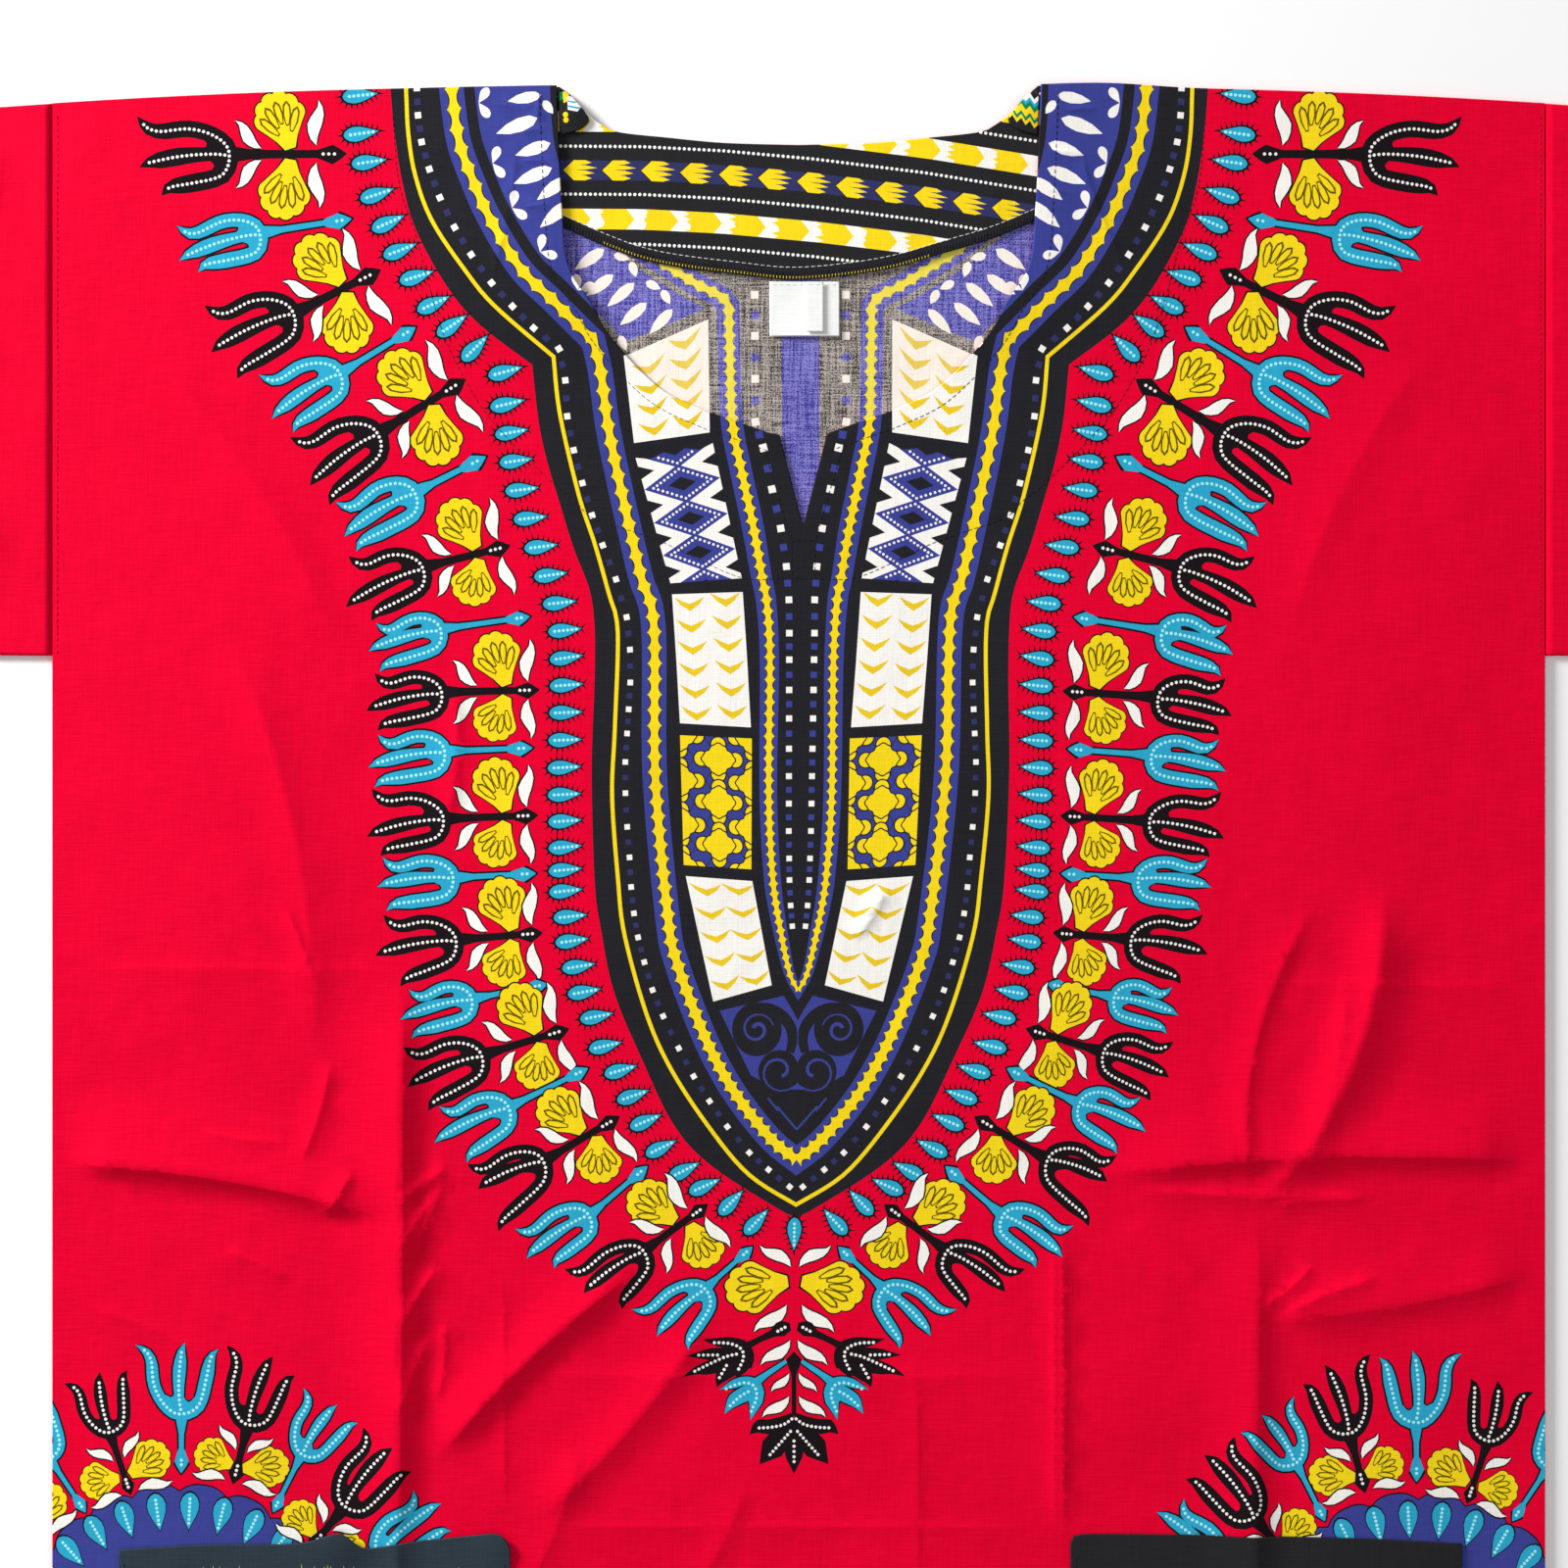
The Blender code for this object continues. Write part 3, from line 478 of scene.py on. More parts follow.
def facing_top(x, y):
    return facing_under(x, y) + WALL


def sleeve_span(x, side):
    """The lowest and highest y of a sleeve at x from the centre."""
    share = (x - SIDE) / (END - SIDE)
    top = SHOULDER_Y - float(shoulder_depth(side * x))
    armhole_low = SHOULDER_Y - float(shoulder_depth(side * SIDE)) - ARMHOLE
    cuff_low = SHOULDER_Y - float(shoulder_depth(side * END)) - CUFF
    return armhole_low + (cuff_low - armhole_low) * share, top


def cuff_top(x, y):
    """The hemmed end of a sleeve, where its stitches lie."""
    at = END - CUFF_STITCH_IN * MM
    low, top = sleeve_span(at, 1)
    rise = sleeve_rise(x, y) * smooth((y - low) / 0.016) * smooth((top - y) / 0.016)
    return 2 * WALL + GAP + HEM_RISE + rise


def label_top(x, y):
    over = (x > TAB_X[0] * MM) & (x < TAB_X[1] * MM)
    return WALL + GAP + LABEL_WALL * 0.7 + over * (GAP + LABEL_WALL)


def sleeve_rise(x, y):
    inner = smooth((np.abs(x) - SIDE) / 0.030)
    rows = SLEEVE_CREASES + SLEEVE_FINE
    return crease_height(np.abs(x), SHOULDER_Y - y, rows) * inner


def level(height):
    """A flat field at a height."""
    return lambda x, y: np.full(np.shape(x), height)


# -------------------------------------------------------------------- lines
def curve(rows, step):
    """Points about step apart on a smooth line through rows."""
    rows = np.asarray(rows, float)
    padded = np.vstack([rows[:1], rows, rows[-1:]])
    t = (np.arange(16) / 16)[:, None]
    dense = []
    for a, b, c, e in zip(padded, padded[1:], padded[2:], padded[3:]):
        dense.append(
            0.5
            * (
                2 * b
                + (c - a) * t
                + (2 * a - 5 * b + 4 * c - e) * t**2
                + (3 * b - a - 3 * c + e) * t**3
            )
        )
    return spaced(np.vstack(dense + [rows[-1:]]), step)


def spaced(line, step, start=0.0, stop=0.0):
    """Points about step apart along a line, from start to stop short of it."""
    line = np.asarray(line, float)
    runs = np.append(0.0, np.cumsum(np.hypot(*np.diff(line, axis=0).T)))
    count = max(1, round((runs[-1] - start - stop) / step))
    spots = np.linspace(start, runs[-1] - stop, count + 1)
    return np.stack([np.interp(spots, runs, line[:, k]) for k in (0, 1)], 1)


def beside(line, off):
    """A line off to one side of a line, its corners kept."""
    steps = np.diff(line, axis=0)
    steps /= np.maximum(np.hypot(*steps.T), 1e-9)[:, None]
    before = np.vstack([steps[:1], steps])
    after = np.vstack([steps, steps[-1:]])
    lean = np.maximum(1 + (before * after).sum(axis=1), 0.35)
    middle = (before + after) / lean[:, None]
    return line + np.stack([middle[:, 1], -middle[:, 0]], 1) * off


def to_centre(line):
    """A half line of the print, run on or cut at the centre line."""
    line = np.asarray(line, float)
    ahead = line[-1] + (line[-1] - line[-2]) * 40
    line = np.vstack([line, [ahead]])
    past = int(np.argmax(line[:, 0] <= 1e-6))
    a, b = line[past - 1], line[past]
    cross = a + (b - a) * (a[0] / (a[0] - b[0]))
    return np.vstack([line[:past], [cross]])


def half_line(parts, off=0.0, step=5.0):
    """A half line through its two parts, off beyond it or, negative, inside."""
    upper, lower = (curve(p, step) for p in parts)
    line = np.vstack([upper[:-1], lower])
    if callable(off):
        off = off(line[:, 1])[:, None]
    return to_centre(beside(line, off))


def bell(parts, off=0.0, step=5.0):
    """The closed shape inside a half line and its mirror."""
    half = half_line(parts, off, step)
    other = half[:-1][::-1] * (-1, 1)
    return np.vstack([half, other])


def spun(points, at=(0, 0), angle=0.0, size=1.0, flip=1):
    """Points, sized, mirrored, turned by an angle and moved."""
    c, s = math.cos(angle), math.sin(angle)
    points = np.asarray(points, float) * (size, size * flip)
    return points @ np.array([[c, s], [-s, c]]) + at


def heading(a, b):
    return math.atan2(b[1] - a[1], b[0] - a[0])


def ribbon(line, halves):
    """The outline of a band along a line, halves wide to each side."""
    line = np.asarray(line, float)
    along = np.gradient(line, axis=0)
    along /= np.maximum(np.hypot(*along.T), 1e-9)[:, None]
    across = np.stack([-along[:, 1], along[:, 0]], 1)
    across = across * np.broadcast_to(halves, len(line))[:, None]
    return np.vstack([line + across, (line - across)[::-1]])


def tapered(rows, halves, step):
    """A smooth band through rows, whose half widths are given at each row."""
    rows = np.asarray(rows, float)
    line = curve(rows, step)
    runs = np.append(0.0, np.cumsum(np.hypot(*np.diff(rows, axis=0).T)))
    spots = np.linspace(0, runs[-1], len(line))
    return ribbon(line, np.maximum(np.interp(spots, runs, halves), 0.04))


def oval(long, wide, count=10):
    turn = np.linspace(0, 2 * math.pi, count, endpoint=False)
    return np.stack([long * np.cos(turn), wide * np.sin(turn)], 1)


def area_of(points):
    x, y = np.asarray(points, float).T
    return 0.5 * float(np.dot(x, np.roll(y, -1)) - np.dot(y, np.roll(x, -1)))


# -------------------------------------------------------------------- print
class Print:
    """Flat shapes in mm, each in one ink; later ones cover earlier ones."""

    def __init__(self, fine=True):
        self.shapes, self.fine = [], fine

    def fill(self, points, ink, both=True):
        points = np.asarray(points, float)
        self.shapes.append((points, ink))
        if both:
            self.shapes.append((points * (-1, 1), ink))

    def dots(self, spots, radius, ink, both=True, sides=5):
        if self.fine:
            for spot in np.atleast_2d(spots):
                self.fill(oval(radius, radius, sides) + spot, ink, both)


LEAF_LINE = ((0.0, 0.0), (3.0, 1.3), (7.2, 1.6), (11.2, 0.5), (14.2, 0.1), (17.0, 1.0))
LEAF_HALF = (0.05, 1.65, 2.65, 2.25, 1.05, 0.05)
BUD_LINE = ((0.0, 0.0), (0.14, 0.0), (0.4, 0.0), (0.72, 0.0), (1.0, 0.0))
BUD_HALF = (0.02, 0.36, 0.5, 0.36, 0.02)


def leaf(sheet, at, angle, size=1.0, flip=1, both=True):
    """A bent white leaf with a dark edge."""
    for grow, ink in ((0.75, BLACK), (0.0, WHITE)):
        halves = np.array(LEAF_HALF) * size + grow
        rows = spun(LEAF_LINE, at, angle, size, flip)
        sheet.fill(tapered(rows, halves, 2.7 * size), ink, both)


def bud(sheet, at, angle, long, wide, ink=WHITE, both=True):
    """A straight leaf or seed, pointed at both ends, centred at a place."""
    rows = spun(np.array(BUD_LINE) - (0.5, 0), at, angle, long)
    sheet.fill(tapered(rows, np.array(BUD_HALF) * wide, long / 7), ink, both)


DROP_ROWS = (  # share of the length from the round end, share of the width
    (0, 0.05), (0.04, 0.44), (0.14, 0.8), (0.3, 1), (0.47, 0.93),
    (0.64, 0.68), (0.82, 0.34), (1, 0.03),
)


def drop_shape(long, wide):
    rows = np.array(DROP_ROWS)
    half = np.stack([(rows[:, 0] - 0.5) * long, rows[:, 1] * wide / 2], 1)
    return np.vstack([half, half[::-1][1:] * (1, -1)])


def drop(sheet, at, angle, size=1.0, both=True):
    """A turquoise drop with a dark edge, hairs round it and pale dots."""
    edge = drop_shape(19.0 * size, 8.8 * size)
    if sheet.fine:
        ring = spaced(np.vstack([edge, edge[:1]]), 2.4)[:-1]
        ahead = np.roll(ring, -1, axis=0) - np.roll(ring, 1, axis=0)
        ahead /= np.hypot(*ahead.T)[:, None]
        out = np.stack([-ahead[:, 1], ahead[:, 0]], 1)
        if (out * ring).sum() < 0:
            out = -out
        spikes = [ring - ahead * 0.5, ring + out * 2.7, ring + ahead * 0.5]
        edge = np.stack(spikes, 1).reshape(-1, 2)
    sheet.fill(spun(edge, at, angle), BLACK, both)
    sheet.fill(spun(drop_shape(16.8 * size, 7.1 * size), at, angle), TURQUOISE, both)
    spots = np.stack([np.linspace(-5.2, 5.6, 6) * size, np.zeros(6)], 1)
    sheet.dots(spun(spots, at, angle), 0.86 * size, ICE, both)


UPPER_PRONG = (
    (4.3, 0.8), (4.6, -2.6), (6.9, -6), (11.6, -9.2), (17.6, -11), (23, -10.9),
    (27.5, -10.6), (31.4, -11.8), (34, -14.6), (35.3, -16.8),
)
UPPER_HALF = (3.1, 3.0, 2.9, 2.8, 2.8, 2.8, 2.6, 2.1, 1.0, 0.05)
LOWER_PRONG = (
    (4.3, 0.8), (5.2, 4.4), (8, 7.8), (12.9, 9.4), (18, 10.2), (23.5, 11),
    (28.5, 11.6), (32, 12.6), (34.7, 15.1),
)
LOWER_HALF = (3.1, 3.1, 3.1, 3.1, 3.1, 3.1, 2.6, 1.6, 0.05)
MIDDLE_PRONG = (
    (4, 0.4), (9, -0.7), (16, -1.2), (22, -1.2), (27, -0.9), (33, -0.2),
    (37, 0.4), (40, 1.6),
)
MIDDLE_HALF = (2.0, 2.1, 2.4, 2.9, 3.1, 2.6, 1.4, 0.05)
FORK_WEB = (
    (3, -4), (5.6, -7.6), (13.6, -7.6), (13, -6.2), (12.2, -4.9), (12.8, -3.6),
    (14.2, -2.8), (14.2, 0.4), (12, 1.6), (10.6, 2.5), (9.8, 3.8), (10.6, 5.2),
    (12.4, 6.6), (6.5, 6.6), (4, 4),
)
FORK_HEAD = (
    (0, 0.25), (3, 2.3), (6, 3.9), (8.4, 3), (12.4, 1.6), (12.4, -1.6),
    (8.4, -2.7), (5.8, -3.5), (3, -2.1), (0, -0.25),
)
PRONG_LENGTH = 36.7  # from the foot to the mean of the three tips


def fork(sheet, ink, head, foot, tips, both=True, flip=1):
    """A three-pronged flower on a stem, with dotted prongs."""
    head, foot, tips = (np.array(p, float) for p in (head, foot, tips))
    angle = heading(foot, tips.mean(axis=0))
    size = math.hypot(*(tips.mean(axis=0) - foot)) / PRONG_LENGTH

    def prong(rows, tip):
        """A prong's middle line, drawn out to its own tip."""
        rows = np.array(rows)
        share = (rows[:, 0] - rows[0, 0]) / (rows[-1, 0] - rows[0, 0])
        line = spun(rows, foot, angle, size, flip)
        return line + share.clip(0.0)[:, None] * (tip - line[-1])

    cup = np.vstack([prong(UPPER_PRONG, tips[0])[::-1], prong(LOWER_PRONG, tips[2])[1:]])
    halves = np.array(UPPER_HALF[::-1] + LOWER_HALF[1:]) * size
    middle = prong(MIDDLE_PRONG, tips[1])
    back = heading(head, foot)
    stem = np.array([head + (foot - head) * s for s in (0.2, 0.5, 0.86, 1.06)])
    dark = ink == BLACK
    for grow, colour in [(0.6, BLACK)] if dark else [(0.9, BLACK), (0.0, TURQUOISE)]:
        for rows, widths, step in (
            (stem, np.array((1.1, 1.15, 1.3, 2.6)) * size, 7.0),
            (cup, halves, 3.2),
            (middle, np.array(MIDDLE_HALF) * size, 4.2),
        ):
            widths = widths + grow * np.clip(widths, 0.3, 1.0)
            sheet.fill(tapered(rows, widths, step * size), colour, both)
        web = np.array(FORK_WEB)
        web[web[:, 0] > 9.5, 0] += grow
        sheet.fill(spun(web, foot, angle, size, flip), colour, both)
        bigger = np.array(FORK_HEAD) * (1.0, 1 + grow * 0.24) - (grow * 1.5, 0)
        sheet.fill(spun(bigger, head, back, size * 0.92), colour, both)
    pitch, radius, pale = 2.2, 0.82, WHITE if dark else ICE
    sheet.dots(spaced(curve(cup, 1.0), pitch, 4.6, 4.6), radius, pale, both)
    sheet.dots(spaced(curve(middle, 1.0), pitch, 2.4, 4.8), radius, pale, both)
    knot = [(3.9, 0.0), (6.1, 0.0)] + ([(8.3, 0.0)] if dark else [])
    sheet.dots(spun(knot, head, back, size), radius, pale, both)


def fan_outline(grow=0.0):
    """A fan flower: a narrow foot, straight sides and a scalloped far edge."""
    turn = np.linspace(-1.72, 1.72, 37)
    bump = 1.15 * np.abs(np.sin(turn / 1.72 * 3 * math.pi)) ** 0.7
    reach = 10.9 + bump + grow
    rim = np.stack([12.6 + reach * np.cos(turn), reach * np.sin(turn)], 1)
    side = np.array(((-0.4 - grow, 2.5), (4.0, 5.0), (8.0, 8.2)))
    side = side + (0, grow)
    return np.vstack([side * (1, -1), rim, side[::-1]])


def fan(sheet, at, angle, size=1.0, both=True, longer=1.0):
    """A yellow fan flower with looped veins."""
    for grow, ink in ((0.7, BLACK), (0.0, YELLOW)):
        edge = fan_outline(grow) * (longer, 1)
        sheet.fill(spun(edge, at, angle, size), ink, both)
    for lean, near, far in (
        (0.0, 8.0, 20.4), (0.29, 7.0, 20.0), (-0.29, 7.0, 20.0),
        (0.60, 4.6, 18.4), (-0.60, 4.6, 18.4),
    ):
        for shrink, ink in ((0.0, OLIVE), (0.85, YELLOW)):
            loop = drop_shape(far - near - 2.6 * shrink, 4.3 - 2 * shrink)[::2] * (-1, 1)
            loop = spun(loop + ((far + near) / 2 - 2.0, 0), (2.0, 0), lean)
            sheet.fill(spun(loop * (longer, 1), at, angle, size), ink, both)


def ribbon_edges(line, cusp, neck, pitch):
    """A band whose two edges run in hollow arcs from point to point."""
    line = np.asarray(line, float)
    runs = np.append(0.0, np.cumsum(np.hypot(*np.diff(line, axis=0).T)))
    rate = 1 / pitch(line[:, 1])
    arcs = np.append(0.0, np.cumsum((rate[1:] + rate[:-1]) / 2 * np.diff(runs)))
    count = round(arcs[-1])
    phases = np.array((0.0, 0.08, 0.3, 0.5, 0.7, 0.92))
    spots = np.append((np.arange(count)[:, None] + phases).ravel(), count)
    spots *= arcs[-1] / count
    places = np.stack([np.interp(spots, arcs, line[:, k]) for k in (0, 1)], 1)
    share = np.append(np.tile(phases, count), 0.0)
    hollow = (1 - (2 * share - 1) ** 2) ** 0.75
    return places, cusp(places[:, 1]) * (1 - (1 - neck) * hollow)


def hollow_ribbon(sheet, parts, cusps, necks, pitches):
    """The yellow ribbon with hollow edges and a dark line in each hollow."""
    line = half_line(parts, step=2.0)

    def at(rows):
        depths, values = np.array(rows).T
        return lambda d: np.interp(d, depths, values)

    for low, high, ink in ((0.34, 1.0, BLACK), (0.0, 1.0, YELLOW)):
        neck = low + (high - low) * necks
        places, halves = ribbon_edges(line, at(cusps), neck, at(pitches))
        sheet.fill(ribbon(places, halves), ink)


def square_row(sheet, spots, angles, size, ink):
    for spot, angle in zip(spots, angles):
        half = size / 2
        block = ((-half, -half), (half, -half), (half, half), (-half, half))
        sheet.fill(spun(block, spot, angle), ink)


def patch_map(corners):
    """Turns shares across and down a four-cornered panel into a place."""
    a, b, c, e = (np.array(p) for p in corners)

    def place(points):
        s, t = np.asarray(points, float).T[:, :, None]
        return a * (1 - s) * (1 - t) + b * s * (1 - t) + c * s * t + e * (1 - s) * t

    return place


def cut_to_unit(points):
    """A shape cut to the square from 0 to 1."""
    shape = [tuple(p) for p in points]
    for axis, edge, sign in ((0, 0, 1), (0, 1, -1), (1, 0, 1), (1, 1, -1)):
        kept = []
        for p, q in zip(shape, shape[1:] + shape[:1]):
            here, there = sign * (p[axis] - edge), sign * (q[axis] - edge)
            if here >= 0:
                kept.append(p)
            if (here > 0 > there) or (here < 0 < there):
                t = here / (here - there)
                kept.append(tuple(a + (b - a) * t for a, b in zip(p, q)))
        shape = kept
    return shape if len(shape) > 2 else []


CHEVRON_UNIT = 0.45  # mm
CHEVRON = ((-15.8, -2.8), (-7.2, 1.4), (0, 4.2), (7.2, 1.4), (15.8, -2.8),
           (9, 5.6), (0, 11.6), (-9, 5.6))


def chevron_panel(sheet, corners, columns):
    """A white panel with rows of yellow chevrons in two columns."""
    place = patch_map(corners)
    square = ((0, 0), (0.5, 0), (1, 0), (1, 0.5), (1, 1), (0.5, 1), (0, 1), (0, 0.5))
    sheet.fill(place(square), WHITE)
    tall = math.hypot(*(np.array(corners[3]) - corners[0])) / CHEVRON_UNIT
    wide = math.hypot(*(np.array(corners[2]) - corners[3])) / CHEVRON_UNIT
    for across, first, pitch, count in columns:
        for row in range(count):
            mark = np.array(CHEVRON) / (wide, tall) + (across, first + pitch * row)
            sheet.fill(place(cut_to_unit(mark)), GOLD)


def diamond_panel(sheet, corners):
    """Blue dotted diamonds on white, with dark teeth at both sides."""
    place = patch_map(corners)
    sheet.fill(place(((0, 0), (1, 0), (1, 1), (0, 1))), WHITE)
    levels = (0.12, 0.39, 0.65, 0.91)
    spans = [(-0.15, levels[0])] + list(zip(levels, levels[1:])) + [(levels[3], 1.17)]
    for side, deep in ((0, 0.19), (1, 0.81)):
        for t in levels:
            tooth = ((side, t - 0.05), (deep, t), (side, t + 0.05))
            sheet.fill(place(cut_to_unit(tooth)), BLACK)
    for top, low in spans:
        middle, half = (top + low) / 2, (low - top) / 2 + 0.012
        for share, ink in ((1.0, BLUE), (0.36, BLACK)):
            shape = (
                (0.5 - 0.50 * share, middle), (0.5, middle - half * share),
                (0.5 + 0.50 * share, middle), (0.5, middle + half * share),
            )
            cut = cut_to_unit(shape)
            if cut:
                sheet.fill(place(cut), ink)
        ring = np.array(
            [(0.5 - 0.38, middle), (0.5, middle - half * 0.76),
             (0.5 + 0.38, middle), (0.5, middle + half * 0.76),
             (0.5 - 0.38, middle)]
        )
        for a, b in zip(ring, ring[1:]):
            for k in range(7):
                s, t = a + (b - a) * k / 7
                if 0.02 < t < 0.98:
                    sheet.dots(place([(s, t)]), 0.70, WHITE)
    for s in (0, 1):
        inner = 0.36 if s == 0 else 0.64
        corner = ((s, 0), (inner, 0), ((s + inner) / 2, 0.03))
        sheet.fill(place(corner), BLACK)


def blossom_panel(sheet, corners):
    """Yellow four-lobed blossoms with dark edges on blue."""
    place = patch_map(corners)
    sheet.fill(place(((0, 0), (1, 0), (1, 1), (0, 1))), BLUE)
    spots = [(0.53, t) for t in (0.172, 0.50, 0.828)]
    spots += [(s, t) for s in (-0.01, 1.01) for t in (0.0, 0.345, 0.685, 1.02)]
    vein = np.array(((-0.30, -0.006), (0.30, -0.006), (0.30, 0.006), (-0.30, 0.006)))
    parts = []
    for spot in spots:
        for turn in (0.72, -0.72):
            parts.append((spun(vein, spot, turn), NAVY))
    turn = np.linspace(0, 2 * math.pi, 49)[:-1]
    swell, ripple = np.cos(4 * turn), np.cos(12 * turn)
    for s, t in spots:
        for grow, ink in ((0.65, BLACK), (0.0, YELLOW)):
            across, down = grow / 33.0, grow / 60.0
            for ds, dt in ((0.238, 0), (-0.238, 0), (0, 0.114), (0, -0.114)):
                lobe = oval(0.099 + across, 0.055 + down, 16) + (s + ds, t + dt)
                parts.append((lobe, ink))
        for grow, ink in ((0.65, BLACK), (0.0, YELLOW)):
            wide = 0.203 + 0.024 * swell + 0.008 * ripple + grow / 33.0
            tall = 0.108 + 0.010 * swell + 0.004 * ripple + grow / 60.0
            core = np.stack([wide * np.cos(turn), tall * np.sin(turn)], 1)
            parts.append((core + (s, t), ink))
    for shape, ink in parts:
        cut = cut_to_unit(shape)
        if cut:
            sheet.fill(place(cut), ink)


def scroll(at, turns, first, last, flip, start=0.0):
    """Points on a spiral, from its outside in."""
    turn = np.linspace(0, turns * 2 * math.pi, int(18 * turns))
    reach = first + (last - first) * (turn / turn[-1])
    return np.stack(
        [at[0] + flip * reach * np.cos(turn + start), at[1] + reach * np.sin(turn + start)], 1
    )


def lower_field(sheet):
    """The blue ground with dark scrolls between the panels and the tip."""
    half = np.array(((0.0, 429.0), (6.2, 417.6), (36.0, 424.5), (21.4, 454.0),
                     (16.4, 456.8), (5.0, 460.6), (0.0, 460.6)))
    sheet.fill(np.vstack([half, half[1:-1][::-1] * (-1, 1)]), BLUE, both=False)
    for at, size, spiral, halves in (
        ((18.8, 433.0), (11.4, 12.4), (1.4, 7.8, 1.5, 1, -2.9), (0.30, 0.95)),
        ((8.3, 452.3), (9.7, 9.8), (1.05, 9.8, 2.4, -1, 0.75), (0.30, 0.85)),
    ):
        sheet.fill(oval(*size, 36) + at, BLACK)
        line = scroll(at, *spiral)
        sheet.fill(ribbon(line, np.linspace(*halves, len(line))), BLUE)
    band = ((18.8, 423.3), (12.9, 423.8), (7.0, 427.2), (3.2, 432.4), (2.3, 438.0),
            (3.6, 443.6))
    sheet.fill(tapered(band, (2.6, 2.7, 2.7, 2.5, 2.3, 2.0), 2.2), BLACK)
    sheet.fill(((0, 441.2), (1.9, 444.6), (0, 448.2), (-1.9, 444.6)), BLUE, both=False)
    for line, half in (
        (((8.4, 417.8), (0.0, 429.6)), 0.34), (((0.0, 429.0), (0.0, 442.0)), 0.2),
        (((13.4, 464.6), (8.6, 470.4)), 0.45), (((9.2, 468.4), (0.0, 479.0)), 0.45),
    ):
        sheet.fill(ribbon(np.array(line), half), BLUE)


def neck_print(sheet, lilac=False):
    """The bands, ribbons, panels and squares round the neck."""
    sheet.fill(bell(BAND_OUTER), BLACK, both=False)
    for off, ink in ((0.9, YELLOW), (-0.9, BLACK)):
        sheet.fill(bell(YELLOW_LINE, off), ink, both=False)
    sheet.fill(bell(OUTER_RIBBON, 5.9), BLUE, both=False)
    sheet.fill(bell(OUTER_RIBBON, -5.4), BLACK, both=False)
    shoulder_zone(sheet)
    hollow_ribbon(sheet, OUTER_RIBBON, OUTER_CUSP, 0.47, OUTER_PITCH)
    lower_field(sheet)
    margins = np.array(INNER_MARGIN).T
    for side, more, ink in ((1.0, 4.5, BLACK), (1.0, 0.0, BLUE), (-0.9, 0.0, BLACK)):
        shape = bell(INNER_RIBBON, lambda d: side * np.interp(d, *margins) + more)
        if more:
            shape = shape[np.abs(shape[:, 0]) < 30.0]
            shape = shape[shape[:, 1] > 300.0]
        sheet.fill(shape, ink, both=False)
    hollow_ribbon(sheet, INNER_RIBBON, INNER_CUSP, 0.42, INNER_PITCH)
    if lilac:
        strip = ((-8.6, 30.0), (8.6, 30.0), (8.6, 190.0), (5.4, 216.0), (-5.4, 216.0),
                 (-8.6, 190.0))
        sheet.fill(strip, BLUE, both=False)
    outer_squares(sheet)
    centre_squares(sheet)
    chevron_panel(sheet, UPPER_PANEL, CHEVRON_COLUMNS["upper"])
    diamond_panel(sheet, DIAMOND_PANEL)
    chevron_panel(sheet, MIDDLE_PANEL, CHEVRON_COLUMNS["middle"])
    blossom_panel(sheet, FLOWER_PANEL)
    chevron_panel(sheet, LOWER_PANEL, CHEVRON_COLUMNS["lower"])


def outer_squares(sheet):
    """White and dark blue squares by turns between the yellow line and the blue."""
    white = np.array(OUTER_WHITE)
    navy = (white[:-1] + white[1:]) / 2
    for path, ink in ((white, WHITE), (navy, NAVY)):
        ahead = np.gradient(path, axis=0)
        angles = np.arctan2(ahead[:, 1], ahead[:, 0])
        for spot, angle in zip(path, angles):
            size = np.interp(spot[1], (120.0, 300.0), (2.9, 2.5))
            square_row(sheet, [spot], [angle], size, ink)


def centre_squares(sheet):
    depths, halves = np.array(STRIP_HALF).T
    white = np.array(STRIP_WHITE)
    blue = (white[:-1] + white[1:]) / 2
    for rows, ink in ((white, WHITE), (blue, BLUE)):
        spots = np.stack([np.interp(rows, depths, halves), rows], 1)
        size = np.interp(rows, (150, 240, 386), (3.6, 3.0, 2.4))
        slope = np.gradient(spots[:, 0], spots[:, 1])
        for spot, s, lean in zip(spots, size, slope):
            square_row(sheet, [spot], [-math.atan(lean)], s, ink)


def shoulder_zone(sheet):
    """The blue shoulders with white leaves and seeds."""
    outer = half_line(OUTER_RIBBON, -10.4, 5.0)
    outer = outer[outer[:, 1] < 112.0]
    inner = half_line(INNER_RIBBON, 8.4, 5.0)
    inner = inner[inner[:, 1] < 99.0]
    low = np.array(((82.0, 117.6), (62.0, 109.6), (44.0, 101.6)))
    sheet.fill(np.vstack([outer, low, inner[::-1]]), BLUE)
    for u, d, tilt, long, wide in SHOULDER_LEAVES:
        bud(sheet, (u, d), math.radians(tilt), long, wide)
    seed = drop_shape(8.2, 4.3) * (-1, 1) + (4.1, 0)
    for u, d, high, low in SEED_PAIRS:
        for turn in (high, low):
            sheet.fill(spun(seed, (u, d), math.pi + math.radians(turn)), WHITE)
    for u, d, turn in SEEDS:
        bud(sheet, (u, d), math.radians(turn), 7.4, 4.2)


